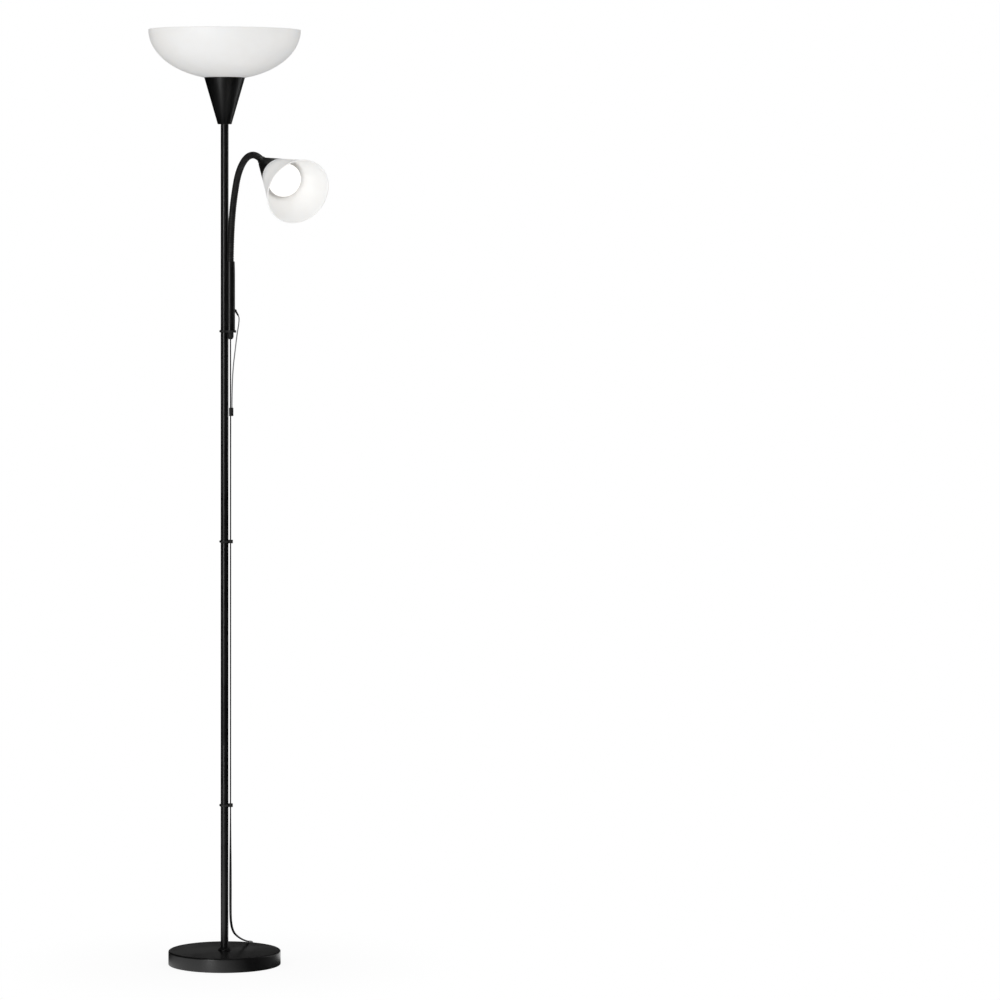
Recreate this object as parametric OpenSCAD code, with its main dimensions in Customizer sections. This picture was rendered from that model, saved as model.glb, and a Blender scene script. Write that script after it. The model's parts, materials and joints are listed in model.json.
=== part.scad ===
// Torchiere floor lamp with an uplight bowl and a reading head on a flexible gooseneck.
// Millimetres, +Z up. The origin is on the pole's axis, at floor level; -Y is the front.

/* [Whole lamp] */
// Height from the floor to the rim of the uplight bowl
lamp_h = 1800; // [1500:10:1900]
// Diameter of the round base
base_d = 217; // [180:1:264]
// Height of the base's top face
base_h = 27; // [20:1:30]

/* [Pole] */
// Outside diameter of the pole tubes
pole_d = 15; // [13:0.5:18]
// Wall of the pole tubes
pole_wall = 1; // [0.8:0.1:1.5]
// Length of each internal threaded coupler
coupler_len = 24; // [18:1:40]
// Bore of the couplers and outside of the threaded nipples
nipple_d = 10; // [8:0.5:10]

/* [Base] */
// Sheet thickness of the base cover
cover_wall = 1.2; // [0.8:0.1:2]
// Rounding of the base's top edge
base_edge_r = 3; // [1:0.5:5]
// Thickness of the soft pad under the base
pad_h = 1.5; // [1:0.5:2]
// Radial room between the iron weight and the cover
weight_gap = 2; // [1:0.5:8]
// Largest diameter of the flared collar at the pole's foot
foot_collar_d = 26; // [22:1:34]
// Height of the flared collar
foot_collar_h = 6; // [4:1:10]

/* [Uplight] */
// Diameter of the bowl at its rim
bowl_d = 291; // [240:1:300]
// Depth of the bowl, outside
bowl_depth = 91; // [80:1:110]
// Thickness of the bowl
bowl_wall = 2.4; // [1.5:0.1:4]
// Radius of the bowl's flat seat
bowl_seat_r = 40; // [38:1:50]
// Height of the cone under the bowl
cone_h = 89; // [75:1:100]
// Top diameter of the cone
cone_top_d = 78; // [74:1:79]
// Bottom diameter of the cone
cone_low_d = 26.5; // [24:0.5:32]
// Wall of both black cones
cone_wall = 1; // [0.8:0.1:1.5]

/* [Sockets and bulbs] */
// Outside diameter of the threaded upper part of a lamp socket
socket_d = 35; // [34.5:0.5:36]
// Diameter of a bulb's screw cap
cap_d = 26.4; // [26:0.1:26.6]
// Length of a bulb's screw cap
cap_len = 25; // [23:0.5:26]
// Diameter of the uplight's round bulb
bulb_d = 60; // [50:1:64]
// Diameter of the reading lamp's reflector bulb
reflector_d = 64; // [50:1:64]

/* [Arm sleeve] */
// Sideways distance from the pole's axis to the sleeve's axis
sleeve_x = 11.2; // [11:0.1:14]
// Forward distance from the pole's axis to the sleeve's axis
sleeve_front = 12.8; // [12.6:0.1:15]
// Outside diameter of the sleeve
sleeve_d = 17.5; // [17:0.5:18]
// Wall of the sleeve
sleeve_wall = 1; // [0.8:0.1:1.2]
// Length of the sleeve
sleeve_len = 136; // [120:1:160]

/* [Gooseneck] */
// Compass direction of the arm, from straight ahead towards the right
arm_azimuth = 26; // [0:1:60]
// Outside diameter of the gooseneck
neck_d = 13; // [12:0.5:13]
// Spacing of the joints in the lower neck
lower_pitch = 46; // [30:1:50]
// Spacing of the joints in the upper neck
upper_pitch = 21; // [19:1:24]
// Diameter of the balls between the neck links
ball_d = 7.2; // [6.8:0.1:7.4]

/* [Reading head] */
// Direction of the head's axis, turned from straight up
head_heading = 111; // [105:1:120]
// Diameter of the narrow end of the head's cone
head_low_d = 22; // [20:0.5:24]
// Diameter of the wide end of the head's cone
head_cone_d = 63; // [62:0.5:66]
// Length of the head's cone
head_cone_len = 62; // [60:1:70]
// Diameter of the shade's open mouth
shade_d = 125.6; // [100:0.2:130]
// Distance from the cone's narrow end to the shade's mouth
head_len = 153; // [140:1:170]
// Thickness of the reading shade
shade_wall = 1.8; // [1.2:0.1:3]
// Diameter of the collar between neck and head
collar_d = 16.6; // [16:0.1:18]

/* [Clips] */
// Height of a clip's loop round the pole
clip_h = 4.4; // [3:0.2:6]
// How far a clip stands out from the pole
clip_wall = 2.6; // [2.2:0.1:3]
// Height of a clip's small loop round the lead
clip_lobe_h = 6.6; // [4:0.2:8]

/* [Mains lead] */
// Width of the flat two-core lead
lead_w = 5; // [4.8:0.1:5]
// Thickness of the flat two-core lead
lead_t = 2.6; // [2.4:0.1:2.6]
// Diameter of the thin round lead of the reading lamp
thin_d = 2.2; // [2:0.1:2.4]
// Length of the in-line switch
switch_len = 52; // [50:1:54]
// Width of the in-line switch
switch_w = 22; // [20:1:24]
// Height of the switch's case
switch_h = 12.5; // [12:0.5:14]

/* [Hidden] */
$fn = 64;

black = "#232323";
rubber = "#1a1a1a";
steel = "#b9bcc0";
brass = "#c2a14a";
opal = "#efeeea";
iron = "#4c4a48";
phenolic = "#2b2a29";

slip = 0.06;             // radial clearance of a turning fit
fit = 0.15;              // radial clearance of a fixed fit
nut_af = 14;             // hexagon nut, across the flats
nut_h = 4;
pole_r = pole_d / 2;
pole_bore_r = pole_r - pole_wall;
nipple_r = nipple_d / 2;
nipple_hole_r = 3.2;

cone_z = lamp_h - bowl_depth - cone_h;     // underside of the uplight's cone
seat_z = cone_z + cone_h;                  // where the bowl sits
cone_floor = 2;
section_len = (cone_z - base_h) / 4;       // four equal tubes

function joint_z(n) = base_h + n * section_len;

// ---- base ----
weight_low = 6;                            // room under the weight for nut and washer
weight_r = base_d / 2 - cover_wall - weight_gap;
recess_r = 16;
washer_h = 1.5;
washer_z = pad_h + 1.5 + nut_h;
weight_floor_z = washer_z + washer_h;
base_nipple_z = pad_h + 0.8;
base_nipple_len = base_h + coupler_len + 2 - base_nipple_z;

module tube(r, bore, h) {
    difference() {
        cylinder(r = r, h = h);
        translate([0, 0, -1]) cylinder(r = bore, h = h + 2);
    }
}

module base_pad() {
    color("#3a3a3a") cylinder(r = base_d / 2 - cover_wall - 0.5, h = pad_h, $fn = 96);
}

module base_weight() {
    weight_top = base_h - cover_wall - 0.2;
    color(iron) difference() {
        translate([0, 0, pad_h]) cylinder(r = weight_r, h = weight_top - pad_h, $fn = 96);
        translate([0, 0, pad_h - 1]) cylinder(r = recess_r, h = weight_floor_z - pad_h + 1);
        cylinder(r = nipple_r + 0.4, h = base_h);
    }
}

module base_cover() {
    r = base_d / 2;
    e = base_edge_r;
    inner_e = max(0.5, e - cover_wall);
    color(black) difference() {
        rotate_extrude($fn = 128) {
            square([r, base_h - e]);
            square([r - e, base_h]);
            translate([r - e, base_h - e]) intersection() {
                circle(r = e, $fn = 48);
                square(e);
            }
        }
        translate([0, 0, -1]) rotate_extrude($fn = 128) {
            square([r - cover_wall, base_h + 1 - cover_wall - inner_e]);
            square([r - cover_wall - inner_e, base_h + 1 - cover_wall]);
        }
        cylinder(r = nipple_r + 0.2, h = base_h + 1);
    }
}

module base_collar() {
    r = foot_collar_d / 2;
    neck_r = pole_r + 1.2;
    color(black) translate([0, 0, base_h]) rotate_extrude() difference() {
        polygon([
            [pole_r + fit, 0], [r, 0], [r, 0.8], [r - 1.4, 2.2], [neck_r + 1.2, 3.4],
            [neck_r, foot_collar_h - 0.8], [neck_r - 0.4, foot_collar_h],
            [pole_r + fit, foot_collar_h]
        ]);
    }
}

module base_washer() {
    color(steel) translate([0, 0, washer_z]) tube(recess_r - 2, nipple_r + 0.2, washer_h);
}

module hex_nut(z) {
    translate([0, 0, z]) difference() {
        cylinder(d = nut_af / cos(30), h = nut_h, $fn = 6);
        translate([0, 0, -1]) cylinder(r = nipple_r + 0.02, h = nut_h + 2);
    }
}

module hex_nuts() {
    color(steel) {
        hex_nut(washer_z - nut_h);
        hex_nut(cone_z + cone_floor);
    }
}

module threaded_nipples() {
    color(steel) {
        translate([0, 0, base_nipple_z]) tube(nipple_r, nipple_hole_r, base_nipple_len);
        translate([0, 0, cone_z - coupler_len]) {
            tube(nipple_r, nipple_hole_r, coupler_len + socket_low + 3);
        }
    }
}

// ---- pole ----
module coupler(z) {
    translate([0, 0, z]) tube(pole_bore_r - 0.02, nipple_r + 0.02, coupler_len);
}

module pole_couplers() {
    color(steel) {
        coupler(base_h + 0.5);
        for (n = [1:3]) coupler(joint_z(n) - coupler_len / 2);
        coupler(cone_z - coupler_len - 0.5);
    }
}

module pole_section(n) {
    color(black) translate([0, 0, joint_z(n - 1)]) tube(pole_r, pole_bore_r, section_len);
}

module pole_section_1() { pole_section(1); }
module pole_section_2() { pole_section(2); }
module pole_section_3() { pole_section(3); }

module pole_section_4() {
    difference() {
        pole_section(4);
        for (z = screw_zs) at_saddle(z) cylinder(r = screw_r + 0.1, h = screw_reach);
    }
}

// ---- uplight ----
socket_low = 33;                 // socket's underside above the cone's underside
socket_r = socket_d / 2;
socket_bore_r = socket_r - 2.4;
socket_len = 68;                 // whole socket
bulb_seat = 23;                  // floor of the socket's bore above its underside
contact_h = 1.5;
up_socket_z = cone_z + socket_low;
up_cap_z = up_socket_z + bulb_seat + contact_h;
ring_h = 5;
bulb_r = bulb_d / 2;

module cone_shell(r1, r2, h, wall, floor_t, hole_r) {
    slope = (r2 - r1) / h;
    difference() {
        cylinder(r1 = r1, r2 = r2, h = h, $fn = 96);
        translate([0, 0, floor_t]) {
            cylinder(r1 = r1 + slope * floor_t - wall, r2 = r2 + 0.1 * slope - wall,
                     h = h - floor_t + 0.1, $fn = 96);
        }
        translate([0, 0, -1]) cylinder(r = hole_r, h = floor_t + 2);
    }
}

module uplight_cone() {
    color(black) translate([0, 0, cone_z]) {
        cone_shell(cone_low_d / 2, cone_top_d / 2, cone_h, cone_wall, cone_floor,
                   nipple_r + 0.1);
    }
}

module bowl_carrier() {
    t = 1.5;
    slope = (cone_top_d - cone_low_d) / 2 / cone_h;
    color(steel) translate([0, 0, seat_z - t]) {
        tube(cone_top_d / 2 - cone_wall - t * slope - 0.1, socket_r + 0.3, t);
    }
}

// A lamp socket, its underside at z = 0, its bore opening upwards
module socket_shape(len, seat) {
    difference() {
        rotate_extrude() polygon([
            [0, 0], [10, 0], [11, 1], [13.6, 12], [socket_r - 1.5, 15], [socket_r, 17],
            [socket_r, len - 0.6], [socket_r - 0.6, len], [0, len]
        ]);
        translate([0, 0, seat]) cylinder(r = socket_bore_r, h = len);
        translate([0, 0, -1]) cylinder(r = nipple_r + 0.02, h = 9);
    }
}

// Screw shell and centre tab, on the floor of a socket's bore
module contacts_shape() {
    translate([0, 0, contact_h + 1]) tube(socket_bore_r - 0.2, cap_d / 2 + 0.4, cap_len - 3);
    translate([-2.5, -4, 0]) cube([5, 8, contact_h]);
}

// Screw cap of a bulb, its tip at z = 0: three rolled threads, a shoulder and the tip
module bulb_cap_shape() {
    r = cap_d / 2;
    pitch = 3.6;
    rotate_extrude() polygon(concat(
        [[0, 0], [3.5, 0], [4.5, 1], [9, 2.6], [r - 1.4, 4]],
        [for (k = [0:3], p = [[0, 0.6], [1, 1.6], [1, 2.4], [0, 3.4]])
            [r - 1.1 + p[0] * 1.1, 4 + k * pitch + p[1]]],
        [[r - 1.1, cap_len - 4], [r, cap_len - 3], [r, cap_len], [0, cap_len]]
    ));
}

module ring_shape() {
    tube(socket_r + 8, socket_r + 0.05, ring_h);
}

module uplight_socket() {
    color(phenolic) translate([0, 0, up_socket_z]) socket_shape(socket_len, bulb_seat);
}

module uplight_contacts() {
    color(brass) translate([0, 0, up_socket_z + bulb_seat]) contacts_shape();
}

module uplight_bulb_cap() {
    color(steel) translate([0, 0, up_cap_z]) bulb_cap_shape();
}

// Points of a quarter ellipse from the rim in to radius r_in
function bowl_arc(r, depth, r_in, steps) = [
    for (k = [0:steps])
        let (a = k / steps * acos(r_in / r)) [r * cos(a), -depth * sin(a)]
];
function reversed(list) = [for (k = [len(list) - 1:-1:0]) list[k]];

module uplight_bowl() {
    r = bowl_d / 2;
    // depth of the ellipse that passes through the edge of the flat seat
    full = bowl_depth / sqrt(1 - pow(bowl_seat_r / r, 2));
    outer = bowl_arc(r, full, bowl_seat_r, 28);
    inner = bowl_arc(r - bowl_wall, full - bowl_wall, bowl_seat_r - 3, 28);
    hole = socket_r + 0.4;
    floor_in = -bowl_depth + bowl_wall;
    color(opal) translate([0, 0, lamp_h]) rotate_extrude($fn = 128) polygon(concat(
        outer, [[hole, -bowl_depth], [hole, floor_in], [bowl_seat_r - 3, floor_in]],
        [for (p = reversed(inner)) if (p[1] > floor_in + 0.3) p]
    ));
}

module uplight_ring() {
    color(opal) translate([0, 0, seat_z + bowl_wall]) ring_shape();
}

module uplight_bulb() {
    glass_z = up_cap_z + cap_len;
    ball_up = bulb_r + 20;
    color("white") {
        translate([0, 0, glass_z + ball_up]) sphere(r = bulb_r);
        translate([0, 0, glass_z]) rotate_extrude() polygon([
            [0, 0], [12.8, 0], [13.6, 4], [14, 20], [bulb_r * 0.66, ball_up - bulb_r * 0.66],
            [bulb_r * 0.84, ball_up - bulb_r * 0.4], [bulb_r * 0.84, ball_up - 5], [0, ball_up]
        ]);
    }
}

module uplight_wire() {
    color("#c9c9c4") translate([0, 0, joint_z(3) + coupler_len]) {
        cylinder(d = 3, h = up_socket_z + 6 - joint_z(3) - coupler_len);
    }
}

// ---- clips ----
lead_x = 11.4;                   // the lead's place beside the pole
lead_y = -1.5;
clip_zs = [joint_z(2) - 4, 309];
lead_hole = [lead_t, lead_w];

module pole_loop(h) {
    rotate_extrude() translate([pole_r, -h / 2]) {
        translate([0, 0.8]) square([clip_wall, h - 1.6]);
        square([clip_wall - 0.8, h]);
    }
}

module lead_slot(h) {
    linear_extrude(h, center = true) {
        square([lead_hole[0], lead_hole[1] - lead_t], center = true);
        for (s = [-1, 1]) translate([0, s * (lead_hole[1] - lead_t) / 2]) circle(d = lead_t);
    }
}

module cable_clips() {
    color(rubber) for (z = clip_zs) translate([0, 0, z]) {
        difference() {
            union() {
                pole_loop(clip_h);
                translate([lead_x, lead_y, 0]) cylinder(r = 4.6, h = clip_lobe_h, center = true);
            }
            cylinder(r = pole_r, h = 20, center = true);
            translate([lead_x, lead_y, 0]) lead_slot(20);
        }
    }
}

module clip_top() {
    color(rubber) translate([0, 0, sleeve_z + clip_h / 2]) difference() {
        union() {
            pole_loop(clip_h);
            translate([sleeve_x, -sleeve_front, 0]) {
                cylinder(r = sleeve_d / 2 + 2.2, h = clip_h, center = true);
            }
        }
        cylinder(r = pole_r, h = 20, center = true);
        translate([sleeve_x, -sleeve_front, 0]) {
            cylinder(d = sleeve_d, h = 20, center = true);
        }
    }
}

// ---- arm sleeve ----
sleeve_z = joint_z(3);           // underside of the sleeve
sleeve_top = sleeve_z + sleeve_len;
sleeve_bore_r = sleeve_d / 2 - sleeve_wall;
taper_len = 22;
taper = 1;
saddle_len = 90;
saddle_z = sleeve_z + 24;
screw_zs = [saddle_z + 12, saddle_z + saddle_len - 12];
screw_r = 1.5;
saddle_span = norm([sleeve_x, sleeve_front]);
saddle_angle = atan2(-sleeve_front, sleeve_x);
screw_reach = saddle_span - 3;
gland_z = sleeve_z + 42;

module at_sleeve() {
    translate([sleeve_x, -sleeve_front, sleeve_z]) children();
}

// Local +Z runs from the pole's axis out to the sleeve's axis, at height z
module at_saddle(z) {
    translate([0, 0, z]) rotate([0, 0, saddle_angle]) rotate([0, 90, 0]) children();
}

module sleeve_solid() {
    at_sleeve() {
        cylinder(d = sleeve_d, h = sleeve_len - taper_len);
        translate([0, 0, sleeve_len - taper_len]) {
            cylinder(r1 = sleeve_d / 2, r2 = sleeve_d / 2 - taper + 0.4, h = taper_len);
        }
    }
}

module arm_sleeve() {
    color(black) difference() {
        sleeve_solid();
        at_sleeve() {
            translate([0, 0, -1]) cylinder(r = sleeve_bore_r, h = sleeve_len - taper_len + 1);
            cylinder(r = neck_d / 2 + slip + bush_wall, h = sleeve_len + 1);
        }
        for (z = screw_zs) at_saddle(z) cylinder(r = screw_r + 0.1, h = saddle_span);
        translate([sleeve_x, -sleeve_front, gland_z]) rotate([0, 90, 0]) {
            cylinder(r = gland_r + 0.1, h = sleeve_d);
        }
    }
}

module arm_saddle() {
    color(black) difference() {
        rotate([0, 0, saddle_angle]) translate([pole_r - 2, -5.5, saddle_z]) {
            cube([saddle_span - pole_r - sleeve_d / 2 + 4, 11, saddle_len]);
        }
        translate([0, 0, saddle_z - 1]) cylinder(r = pole_r + 0.02, h = saddle_len + 2);
        translate([sleeve_x, -sleeve_front, saddle_z - 1]) {
            cylinder(r = sleeve_d / 2 + 0.02, h = saddle_len + 2);
        }
        for (z = screw_zs) at_saddle(z) cylinder(r = screw_r + 0.1, h = saddle_span);
    }
}

module arm_screws() {
    nut_from = pole_bore_r - 2.4;
    head_at = saddle_span - sleeve_bore_r + 0.8;
    color(steel) for (z = screw_zs) at_saddle(z) {
        translate([0, 0, nut_from]) cylinder(r = screw_r, h = head_at - nut_from);
        translate([0, 0, nut_from]) cylinder(r = 2.6, h = 1.8);
        translate([0, 0, head_at]) cylinder(r1 = 2.9, r2 = 1.9, h = 1.5);
    }
}

bush_wall = 1.1;
bush_len = 30;
bush_floor = 2;

module sleeve_bushing() {
    r = neck_d / 2 + slip + bush_wall - 0.02;
    color("#d8d4c8") at_sleeve() translate([0, 0, sleeve_len - bush_len]) difference() {
        cylinder(r = r, h = bush_len - 0.5);
        translate([0, 0, bush_floor]) cylinder(r = neck_d / 2 + slip, h = bush_len);
        translate([0, 0, -1]) cylinder(r = 3, h = bush_floor + 2);
    }
}

end_cap_r = 6.1;
end_cap_h = 13;

module sleeve_end_cap() {
    color(rubber) at_sleeve() rotate_extrude() polygon([
        [0, -end_cap_h], [2.6, -end_cap_h], [3.9, -end_cap_h + 0.6], [5.2, -end_cap_h + 2.2],
        [end_cap_r, -end_cap_h + 5], [end_cap_r, 0], [sleeve_bore_r - 0.05, 0],
        [sleeve_bore_r - 0.05, 9], [sleeve_bore_r - 0.8, 10], [0, 10]
    ]);
}

gland_r = 2.4;
gland_tip = [5.6, 0, -9.4];      // from the sleeve's right side to the gland's tip

module side_gland() {
    root = [sleeve_x + sleeve_d / 2, -sleeve_front, gland_z];
    lean = atan2(gland_tip[0], -gland_tip[2]);
    color(rubber) {
        translate(root - [2.2, 0, 0]) rotate([0, 90, 0]) cylinder(r = gland_r, h = 3);
        translate(root + [0.6, 0, 0]) sphere(r = gland_r + 0.3);
        translate(root + [0.6, 0, 0]) rotate([0, 180 - lean, 0]) {
            cylinder(r1 = gland_r - 0.2, r2 = thin_d / 2 + 0.4, h = norm(gland_tip));
        }
    }
}

// ---- gooseneck ----
neck_r = neck_d / 2;
ball_r = ball_d / 2;
stub = 15;                       // first joint above the sleeve's top
lip_r = 5.2;
lip_low = 1.2;                   // how far a socket reaches round its ball
face_up = 1.6;                   // a link's body starts this far past its joint
face_low = 3.8;                  // and ends this far before the next
ball_neck_r = 2.2;
rest_bends = [4, 5.5, 8.5, 10, 13, 15, 17, 18, 16, 13];
lower_count = 3;
collar_len = 18;

function heading(n) = n == 0 ? 0 : heading(n - 1) + rest_bends[n - 1];
function pitch_of(n) = n == 0 ? stub : n <= lower_count ? lower_pitch : upper_pitch;
function along(a) = [sin(a), 0, cos(a)];
// Centre of joint n, in the arm's plane, from the top of the sleeve
function joint_at(n) = n == 1 ? [0, 0, stub]
    : joint_at(n - 1) + pitch_of(n - 1) * along(heading(n - 1));

module arm_frame() {
    translate([sleeve_x, -sleeve_front, sleeve_top]) rotate([0, 0, arm_azimuth - 90]) {
        children();
    }
}

module at_link(n) {
    arm_frame() translate(joint_at(n)) rotate([0, heading(n), 0]) children();
}

module link_socket(r) {
    difference() {
        union() {
            translate([0, 0, -lip_low]) cylinder(r = lip_r, h = lip_low + face_up + 0.5);
            translate([0, 0, face_up]) cylinder(r = r, h = 5);
        }
        sphere(r = ball_r + 0.08);
    }
}

module link_ball(len) {
    translate([0, 0, len - face_low - 1]) cylinder(r = ball_neck_r, h = face_low + 1);
    translate([0, 0, len]) sphere(r = ball_r);
}

module neck_link(n) {
    len = pitch_of(n);
    color(black) at_link(n) {
        link_socket(neck_r);
        translate([0, 0, face_up + 4]) cylinder(r = neck_r, h = len - face_low - face_up - 4);
        link_ball(len);
    }
}

module neck_root() {
    color(black) arm_frame() {
        translate([0, 0, -bush_len + bush_floor + 0.05]) {
            cylinder(r = neck_r, h = bush_len - bush_floor - 0.05 + stub - face_low);
        }
        link_ball(stub);
    }
}

module neck_link_1() { neck_link(1); }
module neck_link_2() { neck_link(2); }
module neck_link_3() { neck_link(3); }
module neck_link_4() { neck_link(4); }
module neck_link_5() { neck_link(5); }
module neck_link_6() { neck_link(6); }
module neck_link_7() { neck_link(7); }
module neck_link_8() { neck_link(8); }
module neck_link_9() { neck_link(9); }

// ---- reading head ----
head_tilt = head_heading - heading(10);
stud_r = 4.9;
head_socket_z = 9;
head_socket_len = 48;
head_seat = 18;
head_cap_z = head_socket_z + head_seat + contact_h;
flange_z = 47;                   // the shade's small end, inside the cone
reflector_r = reflector_d / 2;

module at_head() {
    at_link(10) translate([0, 0, collar_len]) rotate([0, head_tilt, 0]) children();
}

module head_collar() {
    color(black) {
        difference() {
            at_link(10) {
                link_socket(neck_r + 0.6);
                translate([0, 0, 4]) cylinder(d1 = neck_d + 1.8, d2 = collar_d, h = 4);
                translate([0, 0, 8]) cylinder(d = collar_d, h = collar_len);
            }
            at_head() translate([-30, -30, 0]) cube(60);
            at_link(10) sphere(r = ball_r + 0.08);
        }
        at_head() translate([0, 0, -6]) cylinder(r = stud_r, h = head_socket_z + 12);
    }
}

module reading_cone() {
    color(black) at_head() {
        cone_shell(head_low_d / 2, head_cone_d / 2, head_cone_len, cone_wall, 2, stud_r + 0.1);
    }
}

module reading_socket() {
    color(phenolic) at_head() translate([0, 0, head_socket_z]) {
        difference() {
            rotate_extrude() polygon([
                [0, 0], [8, 0], [9.6, 2], [13, 13], [socket_r - 2, 17], [socket_r - 1, 19],
                [socket_r - 1, head_socket_len], [0, head_socket_len]
            ]);
            translate([0, 0, head_seat]) cylinder(r = socket_bore_r, h = head_socket_len);
            translate([0, 0, -1]) cylinder(r = stud_r + 0.05, h = 14);
        }
    }
}

module reading_contacts() {
    color(brass) at_head() translate([0, 0, head_socket_z + head_seat]) contacts_shape();
}

module reading_ring() {
    color(opal) at_head() translate([0, 0, flange_z + shade_wall]) {
        tube(socket_r + 5, socket_r - 0.95, 4);
    }
}

module reading_shade() {
    slope = (head_cone_d - head_low_d) / 2 / head_cone_len;
    tuck = cone_wall + 0.25;
    low_r = head_low_d / 2 + slope * flange_z - tuck;
    edge_r = head_cone_d / 2 - tuck;
    mouth_r = shade_d / 2;
    w = shade_wall;
    hole = socket_r - 0.7;
    color(opal) at_head() rotate_extrude($fn = 96) polygon([
        [hole, flange_z], [low_r, flange_z], [edge_r, head_cone_len],
        [edge_r, head_cone_len + 0.2], [edge_r + tuck, head_cone_len + 0.5],
        [mouth_r, head_len], [mouth_r - w, head_len],
        [edge_r + tuck - w, head_cone_len + 1.2], [edge_r - w, head_cone_len],
        [low_r - w, flange_z + w], [hole, flange_z + w]
    ]);
}

module reading_bulb_cap() {
    color(steel) at_head() translate([0, 0, head_cap_z]) bulb_cap_shape();
}

module reading_bulb() {
    r = reflector_r;
    color("white") at_head() translate([0, 0, head_cap_z + cap_len]) rotate_extrude() polygon([
        [0, 0], [12.6, 0], [13.6, 4], [14.4, 8], [r - 4, 30], [r - 1.2, 34], [r, 38],
        [r - 0.4, 43], [r - 4, 50], [r - 11, 56], [r - 20, 59.4], [0, 61]
    ]);
}

// ---- leads ----
floor_z = lead_t / 2;
rise = sleeve_z - 1218.25;   // how far the sleeve is from its height in the routes
back = base_d / 2 - 108.5;   // how far the base's rim is from its place in the routes
coil_x = -14.3;
coil_y = 170 + back;
coil_in = 17.6;
coil_out = 35.3;
coil_h = 2 * lead_t + 0.2;
plug_at = [30.4, 170.5 + back, 5.5];
plug_turn = -50;
switch_at = [3.9, 125.1 + back, 0];
switch_turn = 192;
switch_lead_z = 4;

// x, y, z and the compass turn of the lead's wide side, where it isn't level
lead_route = [
    [11.2, -12.8, 1205.2, 90], [11.2, -12.3, 1178, 90], [11.3, -10.5, 1120, 90],
    [11.4, -8.8, 1066, 90], [11.4, -5.6, 960, 90], [11.4, -2.4, 860, 90],
    [11.4, -1.5, 816, 90], [11.4, -1.5, 700, 90], [11.4, -1.5, 560, 90],
    [11.4, -1.5, 420, 90], [11.4, -1.5, 309, 90], [11.4, -1.5, 250, 72],
    [11.4, -1.5, 215, 52], [11.4, -1.5, 180, 28], [11.4, -1.5, 145, 4],
    [11.4, -1.5, 115, -16], [11.6, -1, 97.5, -24], [12.2, 0.6, 84.5, -25],
    [13.6, 4.2, 73.5, -26], [16, 10.6, 64, -26], [19.4, 19.6, 56.3, -25],
    [23.6, 30.8, 50, -25], [28.6, 43.4, 44, -24], [34, 57, 38.6, -23],
    [39.4, 71, 34, -22], [44.2, 82.8, 30.6, -21], [48.4, 92.6, 28.7, -20],
    [51.6, 99.4, 27.3, -17], [54, 105.2, 24.2, -10], [54.7, 110.9, 19.8, 2],
    [53.2, 118, 14.4, 22], [49.4, 124.1, 9.8, 42], [43.7, 128.6, 6.4, 62],
    [36.8, 130.8, 4.6, 82], [29.4, 130.5, 4, 102]
];
link_route = [
    [-21.6, 119.7, 4, 102], [-29.6, 119.5, 3.4, 80], [-38, 123, 2.4, 55],
    [-44.2, 129.7, 1.6, 30], [-46.7, 136.6, 1.4, 10], [-47, 146, 1.4, 0],
    [-47, 157.4, 1.4, 0]
];
tail_route = [
    [6.7, 195, 3.9, 50], [11.9, 190.3, 3.2, 48], [17, 185.5, 2.6, 46],
    [22, 180.4, 2.8, 43], [26.4, 175.4, 3.9, 41], [30.4, 170.5, 5.5, 40]
];
thin_route = [
    [26.1, -12.8, 1250.9], [27.4, -12.8, 1247.6], [27.6, -12.7, 1241], [26.8, -12.5, 1233],
    [24.8, -12.2, 1221], [22.4, -11.8, 1203], [20.2, -11.3, 1184], [17.4, -10.6, 1160],
    [15.4, -10, 1134], [14.4, -9.4, 1105], [14.1, -8.8, 1074]
];

// A route's points, moved with the sleeve at the top and with the rim behind the base
function laid(route) = [for (p = route) [
    p[0],
    p[1] + back * min(1, max(0, (p[1] - 4) / 92)),
    p[2] + rise * min(1, max(0, (p[2] - 309) / 757)),
    len(p) == 4 ? p[3] : 90
]];
function unit(v) = v / norm(v);
function place(p) = [p[0], p[1], p[2]];
function tangent(route, k) =
    unit(place(route[min(k + 1, len(route) - 1)]) - place(route[max(k - 1, 0)]));
// The wide side's direction, made square to the route
function side_of(route, k) = let (
    t = tangent(route, k),
    a = route[k][3],
    w = [cos(a), sin(a), 0]
) unit(w - (w * t) * t);
function ring_of(route, k, w, h, sides) = let (
    t = tangent(route, k),
    s = side_of(route, k),
    n = cross(t, s)
) [for (j = [0:sides - 1]) let (a = (j + 0.5) * 360 / sides)
    place(route[k]) + w / 2 * cos(a) * s + h / 2 * sin(a) * n];

// A closed tube along the route, w wide and h thick
module lead_tube(route, w, h, sides) {
    count = len(route);
    grow = 1 / cos(180 / sides);
    points = [for (k = [0:count - 1], p = ring_of(route, k, w * grow, h * grow, sides)) p];
    walls = [for (k = [0:count - 2], j = [0:sides - 1]) let (
        a = k * sides + j,
        b = k * sides + (j + 1) % sides
    ) each [[a, b, b + sides], [a, b + sides, a + sides]]];
    first = [for (j = [sides - 1:-1:0]) j];
    last = [for (j = [0:sides - 1]) (count - 1) * sides + j];
    polyhedron(points, concat([first], walls, [last]), convexity = 8);
}

module reading_lead() {
    color("#55585a") lead_tube(laid(thin_route), thin_d, thin_d, 8);
}

module lead_joiner() {
    color(rubber) translate([12.7, -8.8, 1066 + rise]) {
        cylinder(r = 4.2, h = 16, center = true);
    }
}

module mains_lead() { color(rubber) lead_tube(laid(lead_route), lead_w, lead_t, 8); }
module mains_link() { color(rubber) lead_tube(laid(link_route), lead_w, lead_t, 8); }
module mains_tail() { color(rubber) lead_tube(laid(tail_route), lead_w, lead_t, 8); }

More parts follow.
